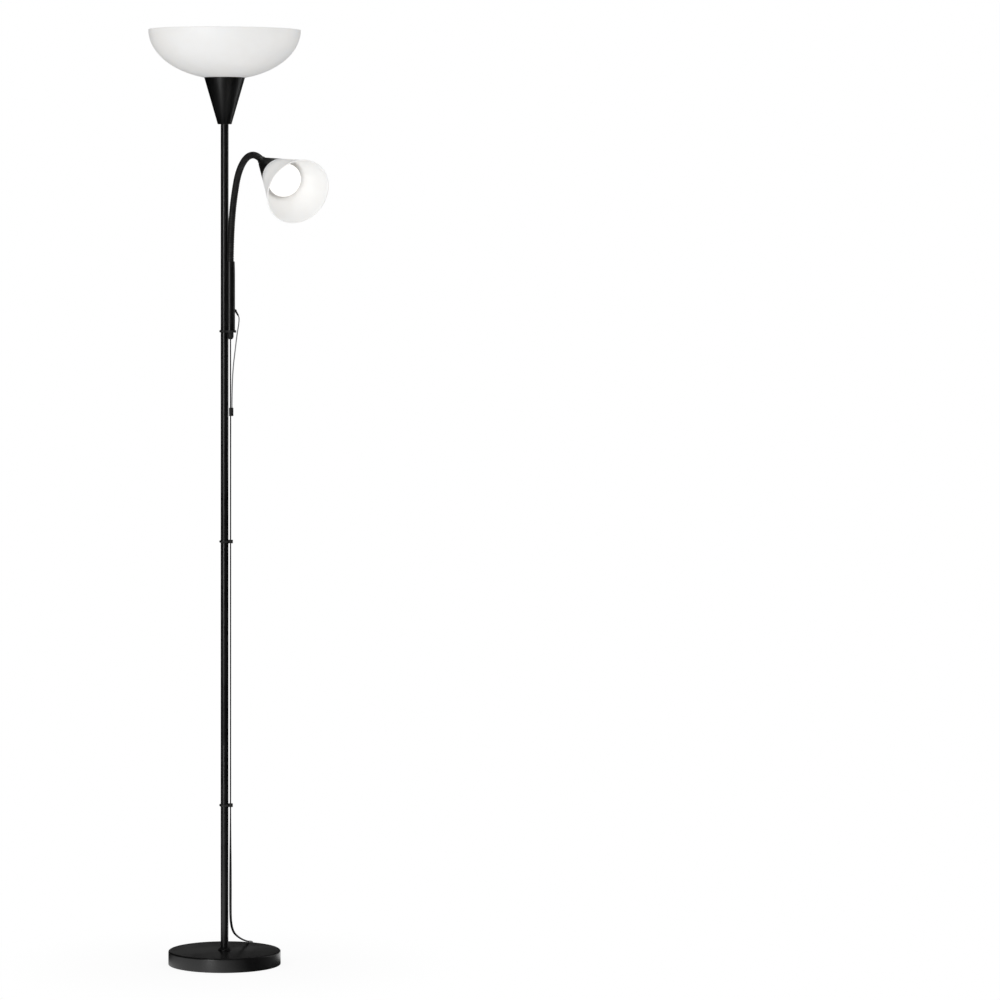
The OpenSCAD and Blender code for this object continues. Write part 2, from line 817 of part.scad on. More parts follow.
module mains_coil() {
    color(rubber) translate([coil_x, coil_y, 0]) rotate_extrude() polygon([
        [coil_in, 1], [coil_in + 1, 0], [coil_out - 1, 0], [coil_out, 1],
        [coil_out, coil_h - 1], [coil_out - 1, coil_h], [coil_in + 1, coil_h],
        [coil_in, coil_h - 1]
    ]);
}

module coil_tie() {
    t = 0.7;
    color("#202020") translate([coil_x, coil_y, 0]) rotate([0, 0, 150]) difference() {
        translate([coil_in - t, -3, 0]) cube([coil_out - coil_in + 2 * t, 6, coil_h + t]);
        translate([coil_in, -4, t / 2]) cube([coil_out - coil_in, 8, coil_h - t / 2]);
    }
}

// ---- in-line switch ----
case_split = 6.5;
rocker_len = 12.4;
rocker_w = 10.4;
rocker_room = 0.9;
rocker_x = 9;
pivot_z = 8.6;
rocker_tilt = 7;

module at_switch() {
    translate(switch_at) rotate([0, 0, switch_turn]) children();
}

module round_case(l, w, h) {
    linear_extrude(h) {
        square([l - 10, w], center = true);
        square([l, w - 10], center = true);
        for (x = [-1, 1], y = [-1, 1]) {
            translate([x * (l / 2 - 5), y * (w / 2 - 5)]) circle(r = 5, $fn = 32);
        }
    }
}

module lead_way() {
    rotate([0, 90, 0]) linear_extrude(switch_len + 2, center = true) {
        square([lead_t + 0.2, lead_w + 0.2], center = true);
    }
}

module switch_base() {
    color(rubber) at_switch() difference() {
        round_case(switch_len, switch_w, case_split);
        translate([0, 0, 1.6]) round_case(switch_len - 3.2, switch_w - 3.2, case_split);
        translate([0, 0, switch_lead_z]) lead_way();
    }
}

module switch_cover() {
    color(rubber) at_switch() difference() {
        translate([0, 0, case_split]) round_case(switch_len, switch_w, switch_h - case_split);
        translate([0, 0, case_split - 1]) {
            round_case(switch_len - 3.2, switch_w - 3.2, switch_h - case_split + 1 - 1.6);
        }
        for (s = [-1, 1]) translate([s * rocker_x, 0, switch_h]) {
            cube([rocker_len + 2 * rocker_room, rocker_w + 0.8, 6], center = true);
        }
        for (s = [-1, 1]) translate([s * rocker_x, 0, pivot_z]) rotate([90, 0, 0]) {
            cylinder(r = 1.06, h = switch_w - 1.6, center = true);
        }
    }
}

module rocker(s) {
    half = rocker_len / 2;
    top = switch_h + 1.6 - pivot_z;
    color("#2f2f2f") at_switch() translate([s * rocker_x, 0, pivot_z]) {
        rotate([0, -rocker_tilt, 0]) {
            rotate([90, 0, 0]) linear_extrude(rocker_w, center = true) polygon([
                [-half, 1.2], [-half + 1.5, -1.2], [half - 1.5, -1.2], [half, 1.2],
                [half, top], [0, top - half * sin(rocker_tilt)], [-half, top]
            ]);
            rotate([90, 0, 0]) cylinder(r = 1, h = switch_w - 1.8, center = true);
        }
    }
}

module rocker_1() { rocker(1); }
module rocker_2() { rocker(-1); }

// ---- plug ----
plug_w = 20;
plug_t = 11;
relief_len = 12;
plug_len = 24;
blade_len = 17;
blade_gap = 12.7;

module at_plug() {
    translate(plug_at) rotate([0, 0, plug_turn]) rotate([0, 90, 0]) rotate([0, 0, 90]) children();
}

// A slab across the plug with round sides, from z0 up
module plug_slab(w, t, z0, h) {
    translate([0, 0, z0]) linear_extrude(h) {
        square([w - t, t], center = true);
        for (s = [-1, 1]) translate([s * (w - t) / 2, 0]) circle(d = t, $fn = 48);
    }
}

module plug_body() {
    color(rubber) at_plug() {
        plug_slab(8, 5, 0, 4);
        plug_slab(9.5, 6, 4, 4);
        plug_slab(11, 7, 8, 4);
        plug_slab(plug_w, plug_t, relief_len, plug_len);
    }
}

module plug_blades() {
    color(brass) at_plug() for (s = [-1, 1]) {
        translate([s * blade_gap / 2 - 0.75, -3.2, relief_len + plug_len]) {
            cube([1.5, 6.4, blade_len]);
        }
    }
}

base_pad();
base_weight();
base_cover();
base_collar();
base_washer();
hex_nuts();
threaded_nipples();
pole_couplers();
pole_section_1();
pole_section_2();
pole_section_3();
pole_section_4();
uplight_cone();
bowl_carrier();
uplight_socket();
uplight_contacts();
uplight_bowl();
uplight_ring();
uplight_bulb_cap();
uplight_bulb();
uplight_wire();
clip_top();
cable_clips();
arm_sleeve();
arm_saddle();
arm_screws();
sleeve_bushing();
sleeve_end_cap();
side_gland();
reading_lead();
lead_joiner();
mains_lead();
mains_link();
mains_coil();
mains_tail();
coil_tie();
switch_base();
switch_cover();
rocker_1();
rocker_2();
plug_body();
plug_blades();
neck_root();
neck_link_1();
neck_link_2();
neck_link_3();
neck_link_4();
neck_link_5();
neck_link_6();
neck_link_7();
neck_link_8();
neck_link_9();
head_collar();
reading_cone();
reading_socket();
reading_contacts();
reading_ring();
reading_shade();
reading_bulb_cap();
reading_bulb();
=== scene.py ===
"""The looks of a torchiere floor lamp with a reading head on a gooseneck, in metres."""
import json
from math import acos, cos, degrees, pi, radians, sin, sqrt

import bmesh
import bpy
from mathutils import Matrix, Vector
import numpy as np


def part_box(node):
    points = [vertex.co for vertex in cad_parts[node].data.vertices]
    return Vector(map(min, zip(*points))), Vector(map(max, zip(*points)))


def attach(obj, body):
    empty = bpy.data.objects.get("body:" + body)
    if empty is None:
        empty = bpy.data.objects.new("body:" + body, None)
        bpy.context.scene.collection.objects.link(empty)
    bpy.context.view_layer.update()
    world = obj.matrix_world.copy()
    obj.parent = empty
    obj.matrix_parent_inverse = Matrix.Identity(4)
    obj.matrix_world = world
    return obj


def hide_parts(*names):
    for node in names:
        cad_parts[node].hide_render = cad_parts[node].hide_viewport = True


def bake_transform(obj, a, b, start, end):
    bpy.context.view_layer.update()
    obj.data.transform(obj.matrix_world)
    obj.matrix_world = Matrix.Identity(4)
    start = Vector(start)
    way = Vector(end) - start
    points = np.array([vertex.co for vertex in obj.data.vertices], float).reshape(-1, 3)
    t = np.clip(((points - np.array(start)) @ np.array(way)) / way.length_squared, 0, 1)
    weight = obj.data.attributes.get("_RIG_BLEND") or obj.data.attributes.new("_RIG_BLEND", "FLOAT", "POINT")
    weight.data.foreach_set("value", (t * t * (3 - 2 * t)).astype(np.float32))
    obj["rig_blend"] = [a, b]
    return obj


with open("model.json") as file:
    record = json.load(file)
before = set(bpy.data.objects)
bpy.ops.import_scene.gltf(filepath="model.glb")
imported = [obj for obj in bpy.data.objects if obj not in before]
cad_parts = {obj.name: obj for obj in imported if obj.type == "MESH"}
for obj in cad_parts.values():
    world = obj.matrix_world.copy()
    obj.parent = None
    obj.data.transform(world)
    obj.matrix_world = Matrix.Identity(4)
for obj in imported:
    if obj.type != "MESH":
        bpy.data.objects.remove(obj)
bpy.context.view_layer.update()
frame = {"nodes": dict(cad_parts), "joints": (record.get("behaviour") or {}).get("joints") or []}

MM = 0.001
NODES = frame["nodes"]
UP = Vector((0, 0, 1))
SCENE = bpy.context.scene


def reach(node):
    """Radius of a round upright part, from its box."""
    low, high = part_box(node)
    return (high.x - low.x) / 2


def bottom(node):
    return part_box(node)[0].z


def top(node):
    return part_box(node)[1].z


# ---------------------------------------------------------------- joining nodes

def maths(tree, operation, *operands):
    """A maths node's result; each operand is a number or a socket."""
    node = tree.nodes.new("ShaderNodeMath")
    node.operation = operation
    for socket, value in zip(node.inputs, operands):
        if isinstance(value, (int, float)):
            socket.default_value = value
        else:
            tree.links.new(value, socket)
    return node.outputs[0]


def vector_maths(tree, operation, a, b=None):
    """A vector maths node's result; the second operand is a vector, a socket or nothing."""
    node = tree.nodes.new("ShaderNodeVectorMath")
    node.operation = operation
    tree.links.new(a, node.inputs[0])
    second = node.inputs["Scale" if operation == "SCALE" else 1]
    if isinstance(b, tuple):
        second.default_value = b
    elif b is not None:
        tree.links.new(b, second)
    return node.outputs["Value" if operation in ("LENGTH", "DOT_PRODUCT") else "Vector"]


def ramp(tree, value, low, high, to_low=0.0, to_high=1.0):
    """The value's way from low to high, made smooth and put on another range."""
    node = tree.nodes.new("ShaderNodeMapRange")
    node.interpolation_type = "SMOOTHSTEP"
    node.inputs["From Min"].default_value = low
    node.inputs["From Max"].default_value = high
    node.inputs["To Min"].default_value = to_low
    node.inputs["To Max"].default_value = to_high
    tree.links.new(value, node.inputs["Value"])
    return node.outputs["Result"]


def noise(tree, vector, scale=1.0, detail=3.0, rough=0.55):
    node = tree.nodes.new("ShaderNodeTexNoise")
    node.inputs["Scale"].default_value = scale
    node.inputs["Detail"].default_value = detail
    node.inputs["Roughness"].default_value = rough
    tree.links.new(vector, node.inputs["Vector"])
    return node.outputs["Fac"]


def mapped(tree, vector, scale, rotation=(0, 0, 0)):
    """The vector turned and stretched, for a pattern that runs one way."""
    node = tree.nodes.new("ShaderNodeMapping")
    node.inputs["Scale"].default_value = scale
    node.inputs["Rotation"].default_value = rotation
    tree.links.new(vector, node.inputs["Vector"])
    return node.outputs["Vector"]


def object_place(tree):
    return tree.nodes.new("ShaderNodeTexCoord").outputs["Object"]


def attribute(tree, name):
    node = tree.nodes.new("ShaderNodeAttribute")
    node.attribute_name = name
    return node.outputs["Fac"]


def mix_shaders(tree, share, first, second):
    """The first shader where the share is nought, the second where it is one."""
    node = tree.nodes.new("ShaderNodeMixShader")
    for socket, value in zip(node.inputs, (share, first, second)):
        tree.links.new(value, socket)
    return node.outputs[0]


# ---------------------------------------------------------------- camera, floor and light

CAMERA_PLACE = Vector((0.0, -8.58, 1.425))
CAMERA_LENS = 160.57
CAMERA_PITCH = radians(-3.498)
CAMERA_YAW = radians(-3.54)
CAMERA_ROLL = radians(0.22)

# strength of the room in soft light, in reflections, and as the view behind the lamp
TENT, FLAGS, BEHIND = 0.8, 0.012, 1.0
# compass turn from the front, spread and strength of the floor's pale sides in reflections
FLOOR_PATCHES = [(-42, 80, 0.8), (136, 34, 2.0)]
# strength of the rest of the floor in reflections, and where all of it fades out
FLOOR_REFLECTED = 0.02
REFLECTED_FROM, REFLECTED_TO = 0.5, 1.6
FLOOR_RADIUS = 30
# where the floor goes over to plain white, and how far it is that at its middle
WHITE_FROM, WHITE_TO, LEAST_WHITE = 0.12, 0.5, 0.9


def make_camera():
    data = bpy.data.cameras.new("front_camera")
    data.lens = CAMERA_LENS
    data.clip_start = 0.1
    data.clip_end = 100
    camera = bpy.data.objects.new("front_camera", data)
    SCENE.collection.objects.link(camera)
    turn = Matrix.Rotation(CAMERA_YAW, 4, "Z") @ Matrix.Rotation(pi / 2 + CAMERA_PITCH, 4, "X")
    camera.matrix_world = (
        Matrix.Translation(CAMERA_PLACE) @ turn @ Matrix.Rotation(CAMERA_ROLL, 4, "Z")
    )
    SCENE.camera = camera


def softbox(name, place, aim, width, height, power, reflected=True):
    """An area light with sides in metres and its power in watts, never seen itself."""
    data = bpy.data.lights.new(name, "AREA")
    data.shape = "RECTANGLE"
    data.size = width
    data.size_y = height
    data.energy = power
    light = bpy.data.objects.new(name, data)
    SCENE.collection.objects.link(light)
    light.visible_camera = False
    light.visible_glossy = reflected
    place = Vector(place)
    light.matrix_world = Matrix.Translation(place) @ (
        (Vector(aim) - place).to_track_quat("-Z", "Y").to_matrix().to_4x4()
    )


def backdrop(tree, name, strength):
    node = tree.nodes.new("ShaderNodeBackground")
    node.name = name
    node.inputs["Color"].default_value = (1, 1, 1, 1)
    node.inputs["Strength"].default_value = strength
    return node.outputs[0]


def studio_world():
    """White behind the lamp, a bright tent for soft light, and dark flags in reflections."""
    world = bpy.data.worlds.new("studio_room")
    SCENE.world = world
    world.use_nodes = True
    tree = world.node_tree
    tree.nodes.clear()
    ray = tree.nodes.new("ShaderNodeLightPath").outputs
    tent, flags = backdrop(tree, "tent", TENT), backdrop(tree, "flags", FLAGS)
    room = mix_shaders(tree, ray["Is Glossy Ray"], tent, flags)
    room = mix_shaders(tree, ray["Is Camera Ray"], room, backdrop(tree, "seen", BEHIND))
    out = tree.nodes.new("ShaderNodeOutputWorld")
    tree.links.new(room, out.inputs["Surface"])


def floor_patches(tree, place, far):
    """How bright the floor is in reflections: pale towards a few sides, dark elsewhere."""
    heading = vector_maths(tree, "NORMALIZE", place)
    total = FLOOR_REFLECTED
    for turn, spread, strength in FLOOR_PATCHES:
        side = (sin(radians(turn)), -cos(radians(turn)), 0)
        facing = vector_maths(tree, "DOT_PRODUCT", heading, side)
        patch = ramp(tree, facing, cos(radians(spread)), 1.0, 0.0, strength)
        total = maths(tree, "ADD", total, patch)
    near = ramp(tree, far, REFLECTED_FROM, REFLECTED_TO, 1.0, 0.0)
    return maths(tree, "MULTIPLY", total, near)


def floor_material():
    """White paper that takes the lamp's shadow, with its own brightness in reflections."""
    material = bpy.data.materials.new("pale_floor")
    material.use_nodes = True
    tree = material.node_tree
    tree.nodes.clear()
    place = object_place(tree)
    far = vector_maths(tree, "LENGTH", place)
    ray = tree.nodes.new("ShaderNodeLightPath").outputs
    lit = tree.nodes.new("ShaderNodeBsdfDiffuse")
    lit.inputs["Color"].default_value = (0.9, 0.9, 0.9, 1)
    white = tree.nodes.new("ShaderNodeEmission")
    seen = maths(
        tree, "MULTIPLY", ramp(tree, far, WHITE_FROM, WHITE_TO, LEAST_WHITE, 1.0),
        ray["Is Camera Ray"],
    )
    paper = mix_shaders(tree, seen, lit.outputs[0], white.outputs[0])
    gloss = tree.nodes.new("ShaderNodeEmission")
    tree.links.new(floor_patches(tree, place, far), gloss.inputs["Strength"])
    out = tree.nodes.new("ShaderNodeOutputMaterial")
    paper = mix_shaders(tree, ray["Is Glossy Ray"], paper, gloss.outputs[0])
    tree.links.new(paper, out.inputs["Surface"])
    return material


def pale_floor():
    """A round floor that goes over to the white behind it within half a metre."""
    build = bmesh.new()
    bmesh.ops.create_circle(build, cap_ends=True, segments=96, radius=FLOOR_RADIUS)
    mesh = as_mesh(build, "floor")
    mesh.materials.append(floor_material())
    floor = bpy.data.objects.new("floor", mesh)
    SCENE.collection.objects.link(floor)


def studio():
    SCENE.view_settings.view_transform = "Standard"
    studio_world()
    pale_floor()
    softbox("key_softbox", (-2.3, -4.2, 1.1), (0, 0, 1.0), 0.9, 3.2, 52)
    softbox("front_fill", (0.5, -4.6, 0.25), (0, 0, 1.7), 1.0, 0.5, 18, reflected=False)
    softbox("edge_strip", (3.4, 1.2, 1.1), (0, 0, 0.9), 0.4, 2.8, 10)
    softbox("low_back_strip", (0.6, 7, 1.2), (0, 0, 0.1), 5, 0.8, 2.8)


# ---------------------------------------------------------------- shared surface effects

def group_tree(name, inputs, outputs):
    """A shader node group with number inputs and outputs, and its ends."""
    tree = bpy.data.node_groups.new(name, "ShaderNodeTree")
    for label, value in inputs:
        socket = tree.interface.new_socket(label, in_out="INPUT", socket_type="NodeSocketFloat")
        socket.default_value = value
    for label in outputs:
        tree.interface.new_socket(label, in_out="OUTPUT", socket_type="NodeSocketFloat")
    return tree, tree.nodes.new("NodeGroupInput"), tree.nodes.new("NodeGroupOutput")


def scaled_place(tree, size_socket):
    """Object coordinates divided by a size in metres."""
    return vector_maths(
        tree, "SCALE", object_place(tree), maths(tree, "DIVIDE", 1, size_socket)
    )


def coat_grain_group():
    """The fine orange peel of a sprayed or moulded skin: a height and a speckle."""
    tree, ends_in, ends_out = group_tree("coat_grain", [("Cell", 0.0008)], ["Height", "Speckle"])
    place = scaled_place(tree, ends_in.outputs["Cell"])
    coarse = noise(tree, place, 1.0, 2.0)
    fine = noise(tree, place, 3.7, 3.0, 0.65)
    height = maths(tree, "MULTIPLY_ADD", fine, 0.45, coarse)
    tree.links.new(height, ends_out.inputs["Height"])
    tree.links.new(ramp(tree, fine, 0.5, 0.72), ends_out.inputs["Speckle"])
    return tree


def handling_group():
    """Where hands and cloths have been: broad soft patches and thin wipe marks."""
    tree, ends_in, ends_out = group_tree(
        "handling_marks", [("Patch", 0.05)], ["Patches", "Wipes"]
    )
    place = scaled_place(tree, ends_in.outputs["Patch"])
    broad = ramp(tree, noise(tree, place, 1.0, 4.0), 0.36, 0.66)
    squashed = mapped(tree, place, (9, 9, 0.8), (0.3, 0.5, 0))
    wipes = ramp(tree, noise(tree, squashed, 3.0, 5.0, 0.7), 0.56, 0.74)
    tree.links.new(broad, ends_out.inputs["Patches"])
    tree.links.new(wipes, ends_out.inputs["Wipes"])
    return tree


def dust_group():
    """Household dust that settles on faces looking up."""
    tree, ends_in, ends_out = group_tree("settled_dust", [("Patch", 0.03)], ["Dust"])
    place = scaled_place(tree, ends_in.outputs["Patch"])
    coords = tree.nodes.new("ShaderNodeTexCoord")
    split = tree.nodes.new("ShaderNodeSeparateXYZ")
    tree.links.new(coords.outputs["Normal"], split.inputs[0])
    upward = ramp(tree, split.outputs["Z"], 0.55, 0.95)
    cloud = ramp(tree, noise(tree, place, 1.0, 6.0, 0.7), 0.3, 0.8)
    specks = ramp(tree, noise(tree, place, 26.0, 2.0, 0.5), 0.64, 0.74)
    both = maths(tree, "MAXIMUM", cloud, specks)
    tree.links.new(maths(tree, "MULTIPLY", upward, both), ends_out.inputs["Dust"])
    return tree


EFFECTS = {
    "grain": coat_grain_group(),
    "handling": handling_group(),
    "dust": dust_group(),
}


class Finish:
    """One material: a Principled shader and the effects that feed it."""

    def __init__(self, name, rough, metallic=0.0):
        self.material = bpy.data.materials.new(name)
        self.material.use_nodes = True
        self.tree = self.material.node_tree
        self.shader = self.tree.nodes["Principled BSDF"]
        self.shader.inputs["Metallic"].default_value = metallic
        self.shader.inputs["Roughness"].default_value = rough

    def set(self, **values):
        for label, value in values.items():
            self.shader.inputs[label.replace("_", " ")].default_value = value

    def effect(self, key, **sizes):
        node = self.tree.nodes.new("ShaderNodeGroup")
        node.node_tree = EFFECTS[key]
        for label, value in sizes.items():
            node.inputs[label].default_value = value
        return node.outputs

    def tint(self, colour, other, mask, share=1.0):
        """A colour, or an earlier mix, that goes over to another where the mask is."""
        mix = self.tree.nodes.new("ShaderNodeMix")
        mix.data_type = "RGBA"
        if share != 1.0:
            mask = maths(self.tree, "MULTIPLY", mask, share)
        self.tree.links.new(mask, mix.inputs["Factor"])
        for socket, value in ((mix.inputs[6], colour), (mix.inputs[7], other)):
            if isinstance(value, tuple):
                socket.default_value = (*value, 1)
            else:
                self.tree.links.new(value, socket)
        return mix.outputs[2]

    def colour(self, output):
        self.tree.links.new(output, self.shader.inputs["Base Color"])

    def roughness(self, mask, low, high):
        self.tree.links.new(ramp(self.tree, mask, 0, 1, low, high), self.shader.inputs["Roughness"])

    def bump(self, height, depth, strength=1.0):
        node = self.tree.nodes.new("ShaderNodeBump")
        node.inputs["Distance"].default_value = depth
        node.inputs["Strength"].default_value = strength
        self.tree.links.new(height, node.inputs["Height"])
        self.tree.links.new(node.outputs["Normal"], self.shader.inputs["Normal"])


def powder_black():
    """Satin black powder coat on steel."""
    skin = Finish("satin_black_powder_coat", 0.32)
    skin.set(Specular_IOR_Level=0.75)
    grain = skin.effect("grain", Cell=0.0011)
    marks = skin.effect("handling", Patch=0.07)
    dust = skin.effect("dust", Patch=0.035)
    base = skin.tint((0.0022, 0.0022, 0.0023), (0.005, 0.005, 0.0052), marks["Patches"])
    base = skin.tint(base, (0.014, 0.014, 0.0145), grain["Speckle"], 0.1)
    skin.colour(skin.tint(base, (0.16, 0.155, 0.15), dust["Dust"], 0.05))
    skin.roughness(marks["Patches"], 0.3, 0.38)
    skin.bump(grain["Height"], 0.00003, 0.45)
    return skin.material


def neck_black():
    """Black flexible tube, paler on the ridges and dull in the grooves, where painted shade darkens it."""
    skin = Finish("black_flexible_tube", 0.4)
    grain = skin.effect("grain", Cell=0.0007)
    marks = skin.effect("handling", Patch=0.03)
    groove = attribute(skin.tree, "groove")
    base = skin.tint((0.009, 0.0088, 0.0085), (0.016, 0.0155, 0.015), marks["Patches"])
    base = skin.tint(base, (0.034, 0.033, 0.032), marks["Wipes"], 0.3)
    # painted shade: the grooves are darkened towards near black, as the shade that falls in them
    skin.colour(skin.tint(base, (0.004, 0.004, 0.004), groove))
    skin.roughness(groove, 0.4, 0.75)
    skin.bump(grain["Height"], 0.00003, 0.5)
    return skin.material


def opal_plastic(name, warm, glow=0.0):
    """Translucent off-white polypropylene with a fine satin moulding; with a glow, it also gets a painted
    glow from the bulb as emission.
    """
    skin = Finish(name, 0.42)
    skin.set(Subsurface_Weight=0.6, Subsurface_Scale=0.012, Subsurface_Radius=(1.0, 0.92, 0.82))
    skin.set(Specular_IOR_Level=0.4)
    grain = skin.effect("grain", Cell=0.0016)
    marks = skin.effect("handling", Patch=0.12)
    base = skin.tint((0.86, 0.855, 0.84), warm, marks["Patches"], 0.5)
    skin.colour(skin.tint(base, (0.95, 0.945, 0.93), grain["Speckle"], 0.3))
    skin.roughness(marks["Wipes"], 0.38, 0.5)
    skin.bump(grain["Height"], 0.00003, 0.5)
    # painted glow: emission brightest at the bulb's height and fading along the shade, standing in for the
    # bulb's light through it
    if glow:
        skin.set(Emission_Strength=glow)
        near = ramp(skin.tree, attribute(skin.tree, "painted_glow_falloff"), 0.0, 1.0)
        lit = skin.tint((1.0, 0.992, 0.98), (0.1, 0.098, 0.094), near)
        skin.tree.links.new(lit, skin.shader.inputs["Emission Color"])
    return skin.material


def bulb_glass(name, glow):
    """Inside-frosted lamp glass."""
    skin = Finish(name, 0.3)
    grain = skin.effect("grain", Cell=0.0009)
    marks = skin.effect("handling", Patch=0.03)
    skin.colour(skin.tint((0.9, 0.895, 0.88), (0.97, 0.965, 0.95), marks["Patches"]))
    skin.roughness(grain["Speckle"], 0.22, 0.4)
    skin.bump(grain["Height"], 0.00001, 0.3)
    skin.set(Emission_Strength=glow)
    lit = skin.tint((1.0, 0.99, 0.975), (0.98, 0.965, 0.94), marks["Patches"])
    skin.tree.links.new(lit, skin.shader.inputs["Emission Color"])
    return skin.material


def bulb_mirror():
    """Pearl-grey reflector coating on the back of the reading bulb."""
    skin = Finish("pearl_reflector_coating", 0.45)
    grain = skin.effect("grain", Cell=0.0012)
    marks = skin.effect("handling", Patch=0.02)
    base = skin.tint((0.5, 0.48, 0.455), (0.6, 0.58, 0.55), marks["Patches"])
    skin.colour(skin.tint(base, (0.66, 0.65, 0.62), grain["Speckle"], 0.4))
    skin.roughness(marks["Patches"], 0.38, 0.5)
    skin.bump(grain["Height"], 0.00001, 0.3)
    return skin.material


def turned_metal(name, dark, bright, rough):
    """Bare metal with rolled or turned lines round the upright axis."""
    skin = Finish(name, rough, metallic=1.0)
    grain = skin.effect("grain", Cell=0.0006)
    marks = skin.effect("handling", Patch=0.02)
    lines = mapped(skin.tree, object_place(skin.tree), (60, 60, 5200))
    streaks = noise(skin.tree, lines, 1.0, 3.0, 0.6)
    base = skin.tint(dark, bright, streaks)
    skin.colour(skin.tint(base, tuple(0.55 * c for c in dark), marks["Patches"], 0.35))
    skin.roughness(grain["Speckle"], rough, rough + 0.15)
    skin.bump(streaks, 0.00002, 0.5)
    return skin.material


def moulded(name, colour, rough, cell, dusty=0.03):
    """Moulded plastic or rubber with a spark-eroded texture."""
    skin = Finish(name, rough)
    grain = skin.effect("grain", Cell=cell)
    marks = skin.effect("handling", Patch=0.025)
    dust = skin.effect("dust", Patch=0.02)
    paler = tuple(min(1.0, 1.35 * c + 0.004) for c in colour)
    base = skin.tint(colour, paler, marks["Patches"], 0.6)
    base = skin.tint(base, tuple(0.7 * c for c in colour), grain["Speckle"], 0.4)
    skin.colour(skin.tint(base, (0.35, 0.34, 0.32), dust["Dust"], dusty))
    skin.roughness(marks["Wipes"], rough - 0.04, rough + 0.1)
    skin.bump(grain["Height"], 0.00004, 0.6)
    return skin.material


def cast_iron():
    """Rough grey casting with darker pits."""
    skin = Finish("raw_cast_iron", 0.7, metallic=0.6)
    grain = skin.effect("grain", Cell=0.003)
    marks = skin.effect("handling", Patch=0.04)
    base = skin.tint((0.07, 0.068, 0.066), (0.12, 0.112, 0.1), marks["Patches"])
    skin.colour(skin.tint(base, (0.16, 0.09, 0.05), grain["Speckle"], 0.3))
    skin.roughness(grain["Speckle"], 0.6, 0.85)
    skin.bump(grain["Height"], 0.0003, 0.8)
    return skin.material


def foam_pad():
    """Dark closed-cell foam with open pores, painted near black as the shade inside them."""
    skin = Finish("dark_foam_pad", 0.85)
    pores = skin.tree.nodes.new("ShaderNodeTexVoronoi")
    pores.inputs["Scale"].default_value = 1400
    skin.tree.links.new(object_place(skin.tree), pores.inputs["Vector"])
    marks = skin.effect("handling", Patch=0.03)
    base = skin.tint((0.02, 0.02, 0.021), (0.05, 0.05, 0.052), marks["Patches"])
    # painted shade: the pores are darkened where shade falls inside them
    shut = ramp(skin.tree, pores.outputs["Distance"], 0.0, 0.7)
    skin.colour(skin.tint((0.008, 0.008, 0.008), base, shut))
    skin.roughness(shut, 0.95, 0.8)
    skin.bump(pores.outputs["Distance"], 0.0003, 0.6)
    return skin.material


def lead_jacket(name, colour, paler, rough):
    """Extruded cable jacket: faint drawn lines along it and a dull bloom."""
    skin = Finish(name, rough)
    grain = skin.effect("grain", Cell=0.0006)
    marks = skin.effect("handling", Patch=0.03)
    along = skin.tree.nodes.new("ShaderNodeUVMap")
    along.uv_map = "along"
    lines = noise(skin.tree, mapped(skin.tree, along.outputs["UV"], (6, 90, 1)), 1.0, 2.0)
    base = skin.tint(colour, paler, marks["Patches"])
    skin.colour(skin.tint(base, paler, lines, 0.4))
    skin.roughness(grain["Speckle"], rough, rough + 0.14)
    skin.bump(lines, 0.00003, 0.5)
    return skin.material


FINISHES = {
    "powder": powder_black(),
    "neck": neck_black(),
    "bowl": opal_plastic("opal_bowl_plastic", (0.8, 0.775, 0.74)),
    # the reading shade gets a painted glow from its bulb
    "shade": opal_plastic("opal_shade_plastic", (0.82, 0.8, 0.77), glow=0.07),
    "bulb": bulb_glass("frosted_bulb_glass", 0.15),
    "lit_bulb": bulb_glass("lit_bulb_glass", 0.5),
    "mirror": bulb_mirror(),
    "zinc": turned_metal("zinc_plated_steel", (0.42, 0.43, 0.45), (0.66, 0.67, 0.69), 0.3),
    "brass": turned_metal("bare_brass", (0.6, 0.43, 0.17), (0.86, 0.66, 0.3), 0.28),
    "phenolic": moulded("black_phenolic", (0.02, 0.019, 0.018), 0.35, 0.0012),
    "white": moulded("white_ring_plastic", (0.78, 0.775, 0.76), 0.4, 0.001, 0.08),
    "iron": cast_iron(),
    "foam": foam_pad(),
    "rubber": moulded("black_clip_rubber", (0.012, 0.012, 0.012), 0.55, 0.0007),
    "case": moulded("black_switch_plastic", (0.014, 0.014, 0.0145), 0.42, 0.0006),
    "rocker": moulded("black_rocker_plastic", (0.022, 0.022, 0.023), 0.3, 0.0005),
    "bush": moulded("cream_nylon_bush", (0.62, 0.58, 0.5), 0.45, 0.0008),
    "jacket": lead_jacket(
        "black_lead_jacket", (0.006, 0.006, 0.0062), (0.014, 0.014, 0.0145), 0.42
    ),
    "grey_jacket": lead_jacket("grey_lead_jacket", (0.12, 0.12, 0.125), (0.2, 0.2, 0.205), 0.34),
}


# ---------------------------------------------------------------- making pieces

def link_piece(name, mesh, finish, body, slot, *stands_for):
    """Puts a finished mesh in the scene, on its body, in place of its CAD nodes."""
    mesh.name = name
    if finish is not None:
        mesh.materials.clear()
        mesh.materials.append(FINISHES[finish])
    piece = bpy.data.objects.new(name, mesh)
    SCENE.collection.objects.link(piece)
    if body:
        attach(piece, body)
    if stands_for:
        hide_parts(*stands_for)
    return piece


def smooth(mesh, angle=40):
    mesh.shade_smooth()
    mesh.set_sharp_from_angle(angle=radians(angle))


def as_mesh(build, name):
    """The built shape as a mesh; the build is freed."""
    mesh = bpy.data.meshes.new(name)
    build.to_mesh(mesh)
    build.free()
    return mesh


def finished_mesh(holder):
    """The object's mesh with its modifiers worked out; the object is removed."""
    mesh = bpy.data.meshes.new_from_object(
        holder.evaluated_get(bpy.context.evaluated_depsgraph_get())
    )
    bpy.data.objects.remove(holder)
    return mesh


def at(x, y, z=0.0):
    return Matrix.Translation((x, y, z))


NO_TURN = Matrix.Identity(4)
